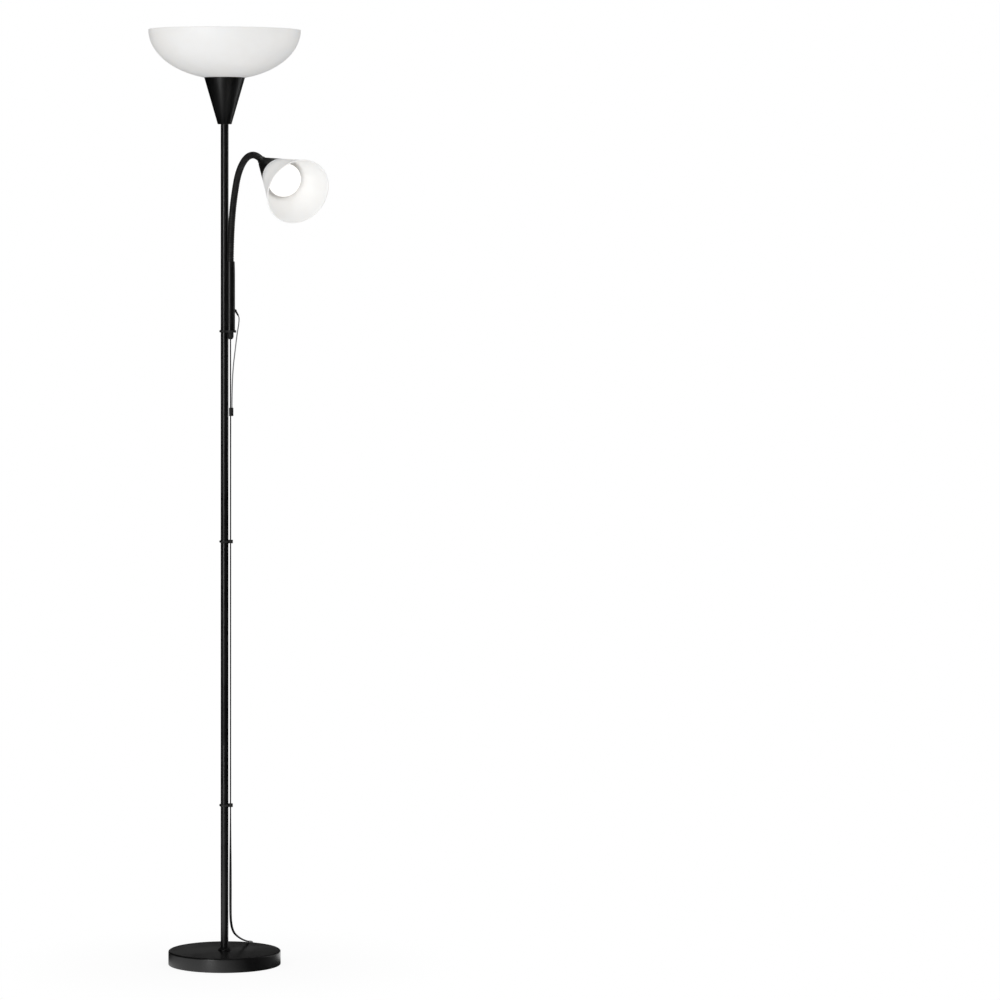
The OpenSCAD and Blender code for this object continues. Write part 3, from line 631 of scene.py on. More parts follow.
# metres, less than any size here
LEAST = 1e-7
# radians between the sides of a corner that needs no rounding
NEARLY_STRAIGHT = 3.0


def arc(centre, across, up, first, last, step):
    """Points of an ellipse round a centre, from one angle to the other, in degrees."""
    x, y = centre
    return [
        (x + across * cos(radians(a)), y + up * sin(radians(a))) for a in range(first, last, step)
    ]


def rounded(points, radius, steps=4):
    """The closed outline with each of its corners turned by a small arc."""
    out = []
    for k, corner in enumerate(points):
        corner, before = Vector(corner), Vector(points[k - 1])
        after = Vector(points[(k + 1) % len(points)])
        into, away = before - corner, after - corner
        on_axis = corner.x < LEAST
        if on_axis or min(into.length, away.length) < LEAST or into.angle(away) > NEARLY_STRAIGHT:
            out.append(corner)
            continue
        room = min(radius, 0.45 * into.length, 0.45 * away.length)
        a, b = corner + into.normalized() * room, corner + away.normalized() * room
        for j in range(steps + 1):
            t = j / steps
            out.append((1 - t) ** 2 * a + 2 * t * (1 - t) * corner + t * t * b)
    return out


def turned(outline, place=None, segments=96, edge=0.0):
    """A turned solid: the closed outline of (radius, height) points swept round Z."""
    points = rounded(outline, edge) if edge else [Vector(p) for p in outline]
    angles = [2 * pi * s / segments for s in range(segments)]
    build = bmesh.new()
    rings = []
    for p in points:
        if p.x < LEAST:
            rings.append([build.verts.new((0, 0, p.y))] * segments)
        else:
            rings.append([build.verts.new((p.x * cos(a), p.x * sin(a), p.y)) for a in angles])
    for k, ring in enumerate(rings):
        following = rings[(k + 1) % len(rings)]
        for s in range(segments):
            n = (s + 1) % segments
            corners = list(dict.fromkeys([ring[s], ring[n], following[n], following[s]]))
            if len(corners) > 2:
                build.faces.new(corners)
    bmesh.ops.recalc_face_normals(build, faces=build.faces)
    if place is not None:
        build.transform(place)
    mesh = as_mesh(build, "turned")
    smooth(mesh)
    return mesh


def eased(node, edge, segments):
    """A copy of a CAD node with its flat faces joined and its edges rounded off."""
    build = bmesh.new()
    build.from_mesh(NODES[node].data)
    bmesh.ops.remove_doubles(build, verts=build.verts, dist=0.002 * MM)
    bmesh.ops.dissolve_limit(
        build, angle_limit=radians(0.4), verts=build.verts, edges=build.edges
    )
    mesh = as_mesh(build, node + "_eased")
    holder = bpy.data.objects.new(node + "_eased", mesh)
    SCENE.collection.objects.link(holder)
    bevel = holder.modifiers.new("edges", "BEVEL")
    bevel.width = edge
    bevel.segments = segments
    bevel.limit_method = "ANGLE"
    bevel.angle_limit = radians(35)
    bevel.use_clamp_overlap = True
    done = finished_mesh(holder)
    bpy.data.meshes.remove(mesh)
    smooth(done)
    return done


def eased_piece(name, node, edge, segments, finish, slot, body="stand"):
    """A piece that keeps its CAD node's shape, with its edges rounded off."""
    return link_piece(name, eased(node, edge, segments), finish, body, slot, node)


# ---------------------------------------------------------------- base, pole and uplight

def make_base():
    """The rolled-edge cover of the base and the stepped collar at the pole's foot."""
    radius, low, high = reach("base_cover"), bottom("base_cover"), top("base_cover")
    wall, bore, edge, hem = 1.2 * MM, 5.2 * MM, 3 * MM, 0.4 * MM
    shoulder = arc((radius - edge, high - edge), edge, edge, 90, -1, -10)
    outline = [(bore, high)] + shoulder + [
        (radius, low + hem), (radius - hem, low), (radius - wall, low),
        (radius - wall, high - wall - edge), (radius - wall - edge, high - wall),
        (bore, high - wall),
    ]
    cover = turned(outline, segments=192)
    link_piece("base_cover_shell", cover, "powder", "stand", "black_paint", "base_cover")

    low, high, foot = bottom("base_collar"), top("base_collar"), reach("base_collar")
    bore = reach("pole_section_1") + 0.1 * MM
    neck = bore + 1.1 * MM
    outline = [
        (bore, low), (foot, low), (foot, low + 0.9 * MM), (foot - 1.2 * MM, low + 1.9 * MM),
        (neck + 2.2 * MM, low + 2.9 * MM), (neck + 0.6 * MM, low + 4.2 * MM),
        (neck, high - 0.5 * MM), (neck - 0.5 * MM, high), (bore, high),
    ]
    collar = turned(outline, edge=0.7 * MM)
    link_piece("foot_collar", collar, "powder", "stand", "black_paint", "base_collar")


POLE_WALL = 1 * MM


def make_pole():
    """The pole's four tubes, each with its end edges broken."""
    for n in range(1, 5):
        node = f"pole_section_{n}"
        radius, low, high = reach(node), bottom(node), top(node)
        bore = radius - POLE_WALL
        outline = [(bore, low), (radius, low), (radius, high), (bore, high)]
        tube = turned(outline, edge=0.3 * MM, segments=64)
        link_piece(f"pole_tube_{n}", tube, "powder", "stand", "black_paint", node)


CONE_WALL = 1 * MM
CONE_FLOOR = 2 * MM


def cone_outline(low_r, high_r, z0, z1, hole):
    """A sheet-metal cone, closed at its narrow end but for its threaded tube's hole."""
    slope = (high_r - low_r) / (z1 - z0)
    inner_low = low_r + slope * CONE_FLOOR - CONE_WALL
    return [
        (hole, z0), (low_r, z0), (high_r, z1), (high_r - CONE_WALL, z1),
        (inner_low, z0 + CONE_FLOOR), (hole, z0 + CONE_FLOOR),
    ]


def make_uplight():
    cone = turned(
        cone_outline(13.25 * MM, reach("uplight_cone"), bottom("uplight_cone"),
                     top("uplight_cone"), 5.1 * MM),
        edge=0.45 * MM, segments=128,
    )
    link_piece("uplight_cone_shell", cone, "powder", "stand", "black_paint", "uplight_cone")
    link_piece("opal_bowl", turned(bowl_outline(), segments=192), "bowl", "stand",
               "opal_plastic", "uplight_bowl")
    make_ring("uplight_ring_nut", NO_TURN, bottom("uplight_ring"), top("uplight_ring"),
              reach("uplight_ring"), 17.6 * MM, "stand", "uplight_ring")
    make_socket("uplight_lampholder", NO_TURN, bottom("uplight_socket"), top("uplight_socket"),
                17.5 * MM, 23 * MM, "stand", "uplight_socket")
    make_screw_cap("uplight_screw_cap", at(0, 0, bottom("uplight_bulb_cap")), "stand",
                   "uplight_bulb_cap")
    link_piece("frosted_globe_bulb", turned(globe_outline()), "bulb", "stand", "frosted_glass",
               "uplight_bulb")


def bowl_outline():
    """The bowl: an ellipse outside and in, a flat seat round its hole, and a round lip."""
    rim, low, radius = top("uplight_bowl"), bottom("uplight_bowl"), reach("uplight_bowl")
    seat, wall, hole = 40 * MM, 2.4 * MM, 17.9 * MM
    depth = (rim - low) / sqrt(1 - (seat / radius) ** 2)
    steps = 44

    def side(r, d, last):
        end = acos(last / r)
        turns = [end * k / steps for k in range(steps + 1)]
        return [(r * cos(a), rim - d * sin(a)) for a in turns]

    outer = side(radius, depth, seat)
    inner = [p for p in side(radius - wall, depth - wall, seat - 3 * MM) if p[1] > low + wall]
    lip = arc((radius - wall / 2, rim - 0.6 * MM), wall / 2, wall / 4, 160, -1, -20)
    return outer[1:] + [(hole, low), (hole, low + wall)] + inner[::-1][:-1] + lip


def globe_outline():
    """A globe bulb: a straight neck that swells into a ball."""
    ball = reach("uplight_bulb")
    low, centre = bottom("uplight_bulb"), top("uplight_bulb") - ball
    neck, neck_len, pull = 14 * MM, 10 * MM, 9 * MM
    join = radians(-52)
    start = Vector((neck, low + neck_len))
    end = Vector((ball * cos(join), centre + ball * sin(join)))
    pull_a = start + Vector((0, pull))
    pull_b = end + Vector((-sin(join), cos(join))) * -pull
    swell = [tuple(bezier(start, pull_a, pull_b, end, k / 10)) for k in range(1, 10)]
    rest = pi / 2 - join
    turns = [join + rest * k / 30 for k in range(30)]
    return (
        [(0, low), (neck - 1 * MM, low), (neck, low + 3 * MM), tuple(start)] + swell
        + [(ball * cos(a), centre + ball * sin(a)) for a in turns] + [(0, centre + ball)]
    )


def bezier(a, b, c, d, t):
    """The point at t on the curve from a to d that is pulled towards b and c."""
    s = 1 - t
    return s ** 3 * a + 3 * s * s * t * b + 3 * s * t * t * c + t ** 3 * d


def make_ring(name, place, low, high, radius, bore, body, node):
    """A shade ring nut: a flange with finger notches round a short threaded skirt."""
    outline = [
        (bore, low), (radius, low), (radius, low + 2 * MM), (bore + 2.2 * MM, low + 2.4 * MM),
        (bore + 2 * MM, high), (bore, high),
    ]
    mesh = turned(outline, edge=0.4 * MM, segments=144)
    for v in mesh.vertices:
        away = v.co.to_2d().length
        turn = degrees(v.co.to_2d().angle_signed(Vector((1, 0)))) % 30
        if away > radius - 1.5 * MM and 10 < turn < 20:
            v.co.x *= (away - 0.9 * MM) / away
            v.co.y *= (away - 0.9 * MM) / away
    mesh.transform(place)
    link_piece(name, mesh, "white", body, "white_plastic", node)


def make_socket(name, place, low, high, radius, seat, body, node, foot=10 * MM):
    """A lampholder: a waisted cap and a threaded skirt, bored for the bulb."""
    hole, bore = 5.2 * MM, radius - 2.4 * MM
    thread, pitch = 0.55 * MM, 2.5 * MM
    skirt = low + 17 * MM
    outline = [
        (hole, low), (foot, low), (foot + 1 * MM, low + 1 * MM), (13.4 * MM, low + 12 * MM),
        (radius - 1.6 * MM, low + 15 * MM), (radius, skirt),
    ]
    for k in range(int((high - 4 * MM - skirt) / pitch)):
        z = skirt + 1.5 * MM + k * pitch
        outline += [(radius, z), (radius - thread, z + 0.5 * pitch)]
    outline += [
        (radius, high - 1.5 * MM), (radius - 0.6 * MM, high), (bore, high), (bore, low + seat),
        (hole, low + seat),
    ]
    link_piece(name, turned(outline, place, 64), "phenolic", body, "phenolic", node)


def make_screw_cap(name, place, body, node):
    """The screw shell of a bulb: rolled round thread, solder tip and insulator."""
    radius, length = 13.2 * MM, CAP_LEN
    turns, pitch, depth, samples = 4, 3.6 * MM, 1.05 * MM, 10
    outline = [
        (0, 0), (3 * MM, 0.2 * MM), (4.2 * MM, 1.1 * MM), (9 * MM, 2.6 * MM),
        (radius - 1.6 * MM, 4 * MM),
    ]
    for k in range(turns * samples):
        wave = 0.5 - 0.5 * cos(2 * pi * k / samples)
        outline.append((radius - 1.1 * MM + depth * wave, 4.6 * MM + k / samples * pitch))
    outline += [
        (radius - 0.9 * MM, length - 4 * MM), (radius, length - 3 * MM), (radius, length),
        (0, length),
    ]
    link_piece(name, turned(outline, place, 64), "zinc", body, "zinc_steel", node)


# ---------------------------------------------------------------- sleeve and clips

def make_sleeve():
    """The sleeve beside the pole that holds the neck, its end cap, clips and saddle."""
    low_corner, high_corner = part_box("arm_sleeve")
    centre = (low_corner + high_corner) / 2
    place = at(centre.x, centre.y)
    radius, low, high = reach("arm_sleeve"), low_corner.z, high_corner.z
    taper_len, taper, wall, mouth = 22 * MM, 0.6 * MM, 1 * MM, 6.85 * MM
    outline = [
        (radius - wall, low), (radius, low), (radius, high - taper_len),
        (radius - taper, high), (radius - taper - 0.5 * MM, high), (mouth, high - 0.4 * MM),
        (mouth, high - taper_len), (radius - wall, high - taper_len),
    ]
    sleeve = turned(outline, place, 64, edge=0.35 * MM)
    link_piece("neck_sleeve", sleeve, "powder", "stand", "black_paint", "arm_sleeve")

    low = bottom("sleeve_end_cap")
    shoulder, tip = low + 13 * MM, low + 23 * MM
    groove, widest, plug = 5.7 * MM, 6.1 * MM, 7.65 * MM
    outline = [
        (0, low), (2.6 * MM, low), (3.9 * MM, low + 0.6 * MM), (5.2 * MM, low + 2.2 * MM),
        (widest, low + 5 * MM), (widest, shoulder - 1.6 * MM), (groove, shoulder - 1.2 * MM),
        (groove, shoulder), (plug, shoulder), (plug, tip - 1 * MM), (7 * MM, tip), (0, tip),
    ]
    cap = turned(outline, place, 64, edge=0.5 * MM)
    link_piece("lead_end_cap", cap, "rubber", "stand", "black_plastic", "sleeve_end_cap")
    for name, node, edge in (
        ("pole_and_sleeve_clip", "clip_top", 0.4 * MM),
        ("lead_clips", "cable_clips", 0.4 * MM),
        ("side_strain_relief", "side_gland", 0.25 * MM),
        ("lead_splice_tube", "lead_joiner", 0.9 * MM),
    ):
        eased_piece(name, node, edge, 3, "rubber", "clip_rubber")
    eased_piece("sleeve_saddle", "arm_saddle", 0.4 * MM, 2, "powder", "black_paint")


# ---------------------------------------------------------------- gooseneck

NECK_JOINTS = [
    "arm_bend", "neck_bend_2", "neck_bend_3", "head_bend", "neck_bend_5", "neck_bend_6",
    "neck_bend_7", "neck_bend_8", "neck_bend_9", "neck_bend_10",
]
JOINT = {j["name"]: j for j in frame["joints"]}
PIVOTS = [Vector(JOINT[name]["pos_m"]) for name in NECK_JOINTS]
BEND_AXIS = Vector(JOINT["arm_bend"]["axis"])
OUTWARD = BEND_AXIS.cross(UP).normalized()
SLEEVE_TOP = Vector(JOINT["arm_swivel"]["pos_m"])
NECK_RADIUS = 6.5 * MM
COLLAR_LEN = 18 * MM
# degrees down from upright, in the arm's plane
COLLAR_HEADING, HEAD_HEADING = 120, 111


def heading(angle):
    """The direction in the arm's plane that is turned that far down from upright."""
    a = radians(angle)
    return sin(a) * OUTWARD + cos(a) * UP


def set_up(origin, angle):
    """A place in the arm's plane: Z along the heading, Y along the bending axis."""
    z = heading(angle)
    x = BEND_AXIS.cross(z)
    return Matrix.Translation(origin) @ Matrix((x, BEND_AXIS, z)).transposed().to_4x4()


COLLAR_PLACE = set_up(PIVOTS[-1], COLLAR_HEADING)
HEAD_ORIGIN = PIVOTS[-1] + COLLAR_LEN * heading(COLLAR_HEADING)
HEAD_PLACE = set_up(HEAD_ORIGIN, HEAD_HEADING)


# points from the middle of one link to the next
NECK_STEPS = 14


def neck_line():
    """The neck's centre line, smooth through the middle of each link, and those middles."""
    controls = [SLEEVE_TOP] + PIVOTS + [HEAD_ORIGIN]
    middles = [(a + b) / 2 for a, b in zip(controls, controls[1:])]
    points = [SLEEVE_TOP - 20 * MM * UP]
    for pivot, a, b in zip(PIVOTS, middles, middles[1:]):
        for j in range(NECK_STEPS):
            t = j / NECK_STEPS
            points.append((1 - t) ** 2 * a + 2 * t * (1 - t) * pivot + t * t * b)
    points.append(middles[-1])
    return points, middles


def neck_tree():
    """Geometry nodes: a tube along a line with a helical groove cut round it."""
    tree = bpy.data.node_groups.new("gooseneck_ribs", "GeometryNodeTree")
    face = tree.interface
    face.new_socket("Line", in_out="INPUT", socket_type="NodeSocketGeometry")
    for label, value in (
        ("Tube Radius", NECK_RADIUS), ("Rib Pitch", 4.6 * MM), ("Groove Depth", 0.75 * MM),
        ("Rib Crown", 0.22 * MM), ("Ring Step", 0.4 * MM),
    ):
        socket = face.new_socket(label, in_out="INPUT", socket_type="NodeSocketFloat")
        socket.default_value = value
    face.new_socket("Finish", in_out="INPUT", socket_type="NodeSocketMaterial")
    face.new_socket("Tube", in_out="OUTPUT", socket_type="NodeSocketGeometry")
    link, add = tree.links.new, tree.nodes.new
    start = add("NodeGroupInput").outputs
    end = add("NodeGroupOutput")

    rings = add("GeometryNodeResampleCurve")
    rings.mode = "LENGTH"
    link(start["Line"], rings.inputs["Curve"])
    link(start["Ring Step"], rings.inputs["Length"])
    keep = add("GeometryNodeCaptureAttribute")
    keep.capture_items.new("FLOAT", "run")
    keep.capture_items.new("VECTOR", "centre")
    run = add("GeometryNodeSplineParameter")
    place = add("GeometryNodeInputPosition").outputs[0]
    link(rings.outputs["Curve"], keep.inputs["Geometry"])
    link(run.outputs["Length"], keep.inputs["run"])
    link(place, keep.inputs["centre"])

    circle = add("GeometryNodeCurvePrimitiveCircle")
    circle.inputs["Resolution"].default_value = 40
    link(start["Tube Radius"], circle.inputs["Radius"])
    keep_turn = add("GeometryNodeCaptureAttribute")
    keep_turn.capture_items.new("FLOAT", "turn")
    turn = add("GeometryNodeSplineParameter")
    link(circle.outputs["Curve"], keep_turn.inputs["Geometry"])
    link(turn.outputs["Factor"], keep_turn.inputs["turn"])

    sweep = add("GeometryNodeCurveToMesh")
    link(keep.outputs["Geometry"], sweep.inputs["Curve"])
    link(keep_turn.outputs["Geometry"], sweep.inputs["Profile Curve"])

    # the helix's phase at each point, then how far that is from the middle of a rib
    phase = maths(tree, "DIVIDE", keep.outputs["run"], start["Rib Pitch"])
    phase = maths(tree, "FRACT", maths(tree, "ADD", phase, keep_turn.outputs["turn"]))
    offset = maths(tree, "ABSOLUTE", maths(tree, "MULTIPLY_ADD", phase, 2.0, -1.0))
    groove = ramp(tree, offset, 0.66, 0.98)
    crown = maths(tree, "MULTIPLY", maths(tree, "POWER", offset, 2.0), start["Rib Crown"])
    cut = maths(tree, "MULTIPLY", groove, start["Groove Depth"])
    depth = maths(tree, "ADD", crown, cut)
    radius = maths(tree, "SUBTRACT", start["Tube Radius"], depth)

    centre = keep.outputs["centre"]
    away = vector_maths(tree, "NORMALIZE", vector_maths(tree, "SUBTRACT", place, centre))
    moved = vector_maths(tree, "ADD", centre, vector_maths(tree, "SCALE", away, radius))
    shift = add("GeometryNodeSetPosition")
    link(sweep.outputs["Mesh"], shift.inputs["Geometry"])
    link(moved, shift.inputs["Position"])

    last = shift.outputs["Geometry"]
    for label, value in (("groove", groove), ("run", keep.outputs["run"])):
        store = add("GeometryNodeStoreNamedAttribute")
        store.data_type = "FLOAT"
        store.domain = "POINT"
        store.inputs["Name"].default_value = label
        link(last, store.inputs["Geometry"])
        link(value, store.inputs["Value"])
        last = store.outputs["Geometry"]
    realize = add("GeometryNodeRealizeInstances")
    paint = add("GeometryNodeSetMaterial")
    link(last, realize.inputs["Geometry"])
    link(realize.outputs["Geometry"], paint.inputs["Geometry"])
    link(start["Finish"], paint.inputs["Material"])
    link(paint.outputs["Geometry"], end.inputs["Tube"])
    return tree


def ribbed_tube(points):
    """The whole neck as one open tube, with its run and groove as attributes."""
    line = bpy.data.curves.new("neck_line", "CURVE")
    line.dimensions = "3D"
    spline = line.splines.new("POLY")
    spline.points.add(len(points) - 1)
    for target, p in zip(spline.points, points):
        target.co = (*p, 1)
    holder = bpy.data.objects.new("neck_line", line)
    SCENE.collection.objects.link(holder)
    tree = neck_tree()
    modifier = holder.modifiers.new("ribs", "NODES")
    modifier.node_group = tree
    for item in tree.interface.items_tree:
        if item.name == "Finish":
            modifier[item.identifier] = FINISHES["neck"]
    return finished_mesh(holder)


def cut_tube(tube, low, high):
    """A closed copy of the part of the tube whose run is between two lengths."""
    build = bmesh.new()
    build.from_mesh(tube)
    run = build.verts.layers.float["run"]
    outside = [
        f for f in build.faces
        if not low <= sum(v[run] for v in f.verts) / len(f.verts) < high
    ]
    bmesh.ops.delete(build, geom=outside, context="FACES")
    ends = [e for e in build.edges if e.is_boundary]
    bmesh.ops.holes_fill(build, edges=ends, sides=0)
    bmesh.ops.recalc_face_normals(build, faces=build.faces)
    mesh = as_mesh(build, "neck_part")
    for material in tube.materials:
        mesh.materials.append(material)
    smooth(mesh, 60)
    return mesh


def make_gooseneck():
    """One piece for each bend, cut at the middles of the links."""
    points, middles = neck_line()
    tube = ribbed_tube(points)
    lengths = [0.0]
    for a, b in zip(points, points[1:]):
        lengths.append(lengths[-1] + (b - a).length)
    count = len(PIVOTS)
    runs = [0.0] + [lengths[1 + n * NECK_STEPS] for n in range(1, count)] + [lengths[-1] + 1]
    bodies = [f"neck_{n}" for n in range(count)] + ["head"]
    for n in range(count):
        part = cut_tube(tube, runs[n], runs[n + 1])
        stands_for = [f"neck_link_{n + 1}"] if n < count - 1 else []
        if n == 0:
            stands_for.append("neck_root")
        piece = link_piece(f"gooseneck_{n + 1}", part, None, None, "neck_black", *stands_for)
        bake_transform(piece, bodies[n], bodies[n + 1], start=middles[n], end=middles[n + 1])
    bpy.data.meshes.remove(tube)


# ---------------------------------------------------------------- reading head

CONE_LEN = 62 * MM
HEAD_LOW_R = 11 * MM
HEAD_CONE_R = 31.5 * MM
MOUTH_R = 62.8 * MM
HEAD_LEN = 153 * MM
BULB_SEAT = 28.5 * MM
CAP_LEN = 25 * MM
SHADE_WALL = 1.8 * MM
SHADE_FOOT = 47 * MM
# painted glow: where the shade's painted glow from the bulb is brightest, and how far along the shade it
# fades out
PAINTED_GLOW_Z, PAINTED_GLOW_REACH = 84 * MM, 75 * MM


def make_head():
    tube, foot, thick = NECK_RADIUS - 0.5 * MM, 4.4 * MM, 8.3 * MM
    lead_hole, stop, end = 4 * MM, 9 * MM, COLLAR_LEN + 1.2 * MM
    outline = [
        (tube, foot), (NECK_RADIUS + 0.7 * MM, foot), (NECK_RADIUS + 1 * MM, 5.4 * MM),
        (thick, 8.2 * MM), (thick, end), (lead_hole, end), (lead_hole, stop), (tube, stop),
    ]
    collar = turned(outline, COLLAR_PLACE, 64, edge=0.5 * MM)
    link_piece("neck_to_head_collar", collar, "powder", "head", "black_paint", "head_collar")

    outline = cone_outline(HEAD_LOW_R, HEAD_CONE_R, 0, CONE_LEN, 4.9 * MM)
    cone = turned(outline, HEAD_PLACE, 128, edge=0.6 * MM)
    link_piece("reading_cone_shell", cone, "powder", "head", "black_paint", "reading_cone")

    shade = turned(shade_outline(), segments=160)
    # painted glow: each point's share of the way from the glow's brightest height to where it fades out
    far = shade.attributes.new("painted_glow_falloff", "FLOAT", "POINT")
    for v, item in zip(shade.vertices, far.data):
        item.value = min(1.0, abs(v.co.z - PAINTED_GLOW_Z) / PAINTED_GLOW_REACH)
    shade.transform(HEAD_PLACE)
    link_piece("opal_reading_shade", shade, "shade", "head", "opal_plastic", "reading_shade")

    ring_low = SHADE_FOOT + SHADE_WALL
    make_ring("reading_ring_nut", HEAD_PLACE, ring_low, ring_low + 4 * MM, 22 * MM,
              16.6 * MM, "head", "reading_ring")
    make_socket("reading_lampholder", HEAD_PLACE, 9 * MM, 57 * MM, 16.5 * MM, 18 * MM, "head",
                "reading_socket", foot=8 * MM)
    make_screw_cap("reading_screw_cap", HEAD_PLACE @ at(0, 0, BULB_SEAT), "head",
                   "reading_bulb_cap")
    make_reflector_bulb()


def shade_outline():
    """The reading shade: tucked into the cone, flared in front of it, with a round lip."""
    slope = (HEAD_CONE_R - HEAD_LOW_R) / CONE_LEN
    tuck = CONE_WALL + 0.2 * MM
    foot_r = HEAD_LOW_R + slope * SHADE_FOOT - tuck
    edge_r = HEAD_CONE_R - tuck
    w, hole, steps = SHADE_WALL, 16.8 * MM, 24
    flare = [
        (HEAD_CONE_R + (MOUTH_R - HEAD_CONE_R) * t, CONE_LEN + 0.5 * MM + (HEAD_LEN - CONE_LEN) * t)
        for t in (k / steps for k in range(steps))
    ]
    lip = arc((MOUTH_R - w / 2, HEAD_LEN - w / 2), w / 2 + 0.25 * MM, w / 2, -20, 201, 20)
    inside = [(r - w, z) for r, z in reversed(flare[1:])]
    return (
        [(hole, SHADE_FOOT), (foot_r, SHADE_FOOT), (edge_r, CONE_LEN)] + flare + lip + inside
        + [(edge_r - w, CONE_LEN), (foot_r - w, SHADE_FOOT + w), (hole, SHADE_FOOT + w)]
    )


def make_reflector_bulb():
    """A blown reflector bulb: a narrow neck, a swelling back and a domed front."""
    low = BULB_SEAT + CAP_LEN
    neck, neck_len, widest, widest_z, dome = 13.4 * MM, 7 * MM, 32 * MM, low + 38 * MM, 22 * MM
    start, end = Vector((neck, low + neck_len)), Vector((widest, widest_z))
    pull_a, pull_b = start + Vector((1 * MM, 9 * MM)), end - Vector((0, 10 * MM))
    back = [bezier(start, pull_a, pull_b, end, k / 20) for k in range(21)]
    front = [
        (widest * cos(radians(a)) ** 0.8, end.y + dome * sin(radians(a))) for a in range(5, 90, 5)
    ]
    outline = [(0, low), (12.6 * MM, low), (13.2 * MM, low + 3 * MM)] + back + front
    bulb = turned(outline + [(0, end.y + dome)])
    bulb.materials.append(FINISHES["lit_bulb"])
    bulb.materials.append(FINISHES["mirror"])
    for face in bulb.polygons:
        face.material_index = 1 if face.center.z < end.y - 2 * MM else 0
    bulb.transform(HEAD_PLACE)
    link_piece("reflector_bulb", bulb, None, "head", "frosted_glass", "reading_bulb")


# ---------------------------------------------------------------- leads, switch and plug

LEAD_W, LEAD_T, THIN_D = 5 * MM, 2.6 * MM, 2.2 * MM

# x, y, z in millimetres and the compass turn of the lead's wide side, as on the part
LEAD_ROUTE = [
    (11.2, -12.8, 1205.2, 90), (11.2, -12.3, 1178, 90), (11.3, -10.5, 1120, 90),
    (11.4, -8.8, 1066, 90), (11.4, -5.6, 960, 90), (11.4, -2.4, 860, 90),
    (11.4, -1.5, 816, 90), (11.4, -1.5, 700, 90), (11.4, -1.5, 560, 90),
    (11.4, -1.5, 420, 90), (11.4, -1.5, 309, 90), (11.4, -1.5, 250, 72),
    (11.4, -1.5, 215, 52), (11.4, -1.5, 180, 28), (11.4, -1.5, 145, 4),
    (11.4, -1.5, 115, -16), (11.6, -1, 97.5, -24), (12.2, 0.6, 84.5, -25),
    (13.6, 4.2, 73.5, -26), (16, 10.6, 64, -26), (19.4, 19.6, 56.3, -25),
    (23.6, 30.8, 50, -25), (28.6, 43.4, 44, -24), (34, 57, 38.6, -23),
    (39.4, 71, 34, -22), (44.2, 82.8, 30.6, -21), (48.4, 92.6, 28.7, -20),
    (51.6, 99.4, 27.3, -17), (54, 105.2, 24.2, -10), (54.7, 110.9, 19.8, 2),
    (53.2, 118, 14.4, 22), (49.4, 124.1, 9.8, 42), (43.7, 128.6, 6.4, 62),
    (36.8, 130.8, 4.6, 82), (29.4, 130.5, 4, 102),
]
LINK_ROUTE = [
    (-21.6, 119.7, 4, 102), (-29.6, 119.5, 3.4, 80), (-38, 123, 2.4, 55),
    (-44.2, 129.7, 1.6, 30), (-46.7, 136.6, 1.4, 10), (-47, 146, 1.4, 0),
    (-47, 157.4, 1.4, 0),
]
TAIL_ROUTE = [
    (11.9, 190.3, 3.2, 48), (17, 185.5, 2.6, 46), (22, 180.4, 2.8, 43),
    (26.4, 175.4, 3.9, 41), (30.4, 170.5, 5.5, 40),
]
THIN_ROUTE = [
    (26.1, -12.8, 1250.9), (27.4, -12.8, 1247.6), (27.6, -12.7, 1241), (26.8, -12.5, 1233),
    (24.8, -12.2, 1221), (22.4, -11.8, 1203), (20.2, -11.3, 1184), (17.4, -10.6, 1160),
    (15.4, -10, 1134), (14.4, -9.4, 1105), (14.1, -8.8, 1074),
]
# how far the sleeve is above the height it has in the routes, and the heights between
# which the lead takes that up
SLEEVE_RISE = bottom("arm_sleeve") / MM - 1218.25
RISE_FROM, RISE_TO = 309, 1066
COIL_X, COIL_Y = -14.3, 170
COIL_OUT, COIL_PITCH = 32.7, 5.05
COIL_LOW, COIL_HIGH = 1.35, 3.95
# degrees: where the coil starts, how far it is wound inwards, and its climb half-way
COIL_FROM, COIL_HALF, COIL_CLIMB = 180, 965, 100


def coil_route():
    """Clockwise inwards on the floor, up at the inner end, and outwards again on top."""
    points = []
    for swept_turn in range(0, 2 * COIL_HALF + 1, 10):
        r = COIL_OUT - COIL_PITCH * min(swept_turn, 2 * COIL_HALF - swept_turn) / 360
        share = min(1.0, max(0.0, (swept_turn - COIL_HALF + COIL_CLIMB / 2) / COIL_CLIMB))
        z = COIL_LOW + (COIL_HIGH - COIL_LOW) * share * share * (3 - 2 * share)
        a = COIL_FROM - swept_turn
        points.append((
            COIL_X + r * cos(radians(a)), COIL_Y + r * sin(radians(a)), z, a - 180
        ))
    return points


def laid(route):
    """The route's points, moved up with the sleeve; the ones near the floor stay."""
    out = []
    for x, y, z, turn in route:
        share = min(1, max(0, (z - RISE_FROM) / (RISE_TO - RISE_FROM)))
        out.append((x, y, z + SLEEVE_RISE * share, turn))
    return out


def whole_lead_route():
    """The lead from the sleeve's cap to the plug, its wide side's turn unwound."""
    coil = coil_route()
    unwind = round((coil[-1][3] - TAIL_ROUTE[0][3]) / 180) * 180
    tail = [(x, y, z, turn + unwind) for x, y, z, turn in TAIL_ROUTE]
    return laid(LEAD_ROUTE) + LINK_ROUTE + coil + tail


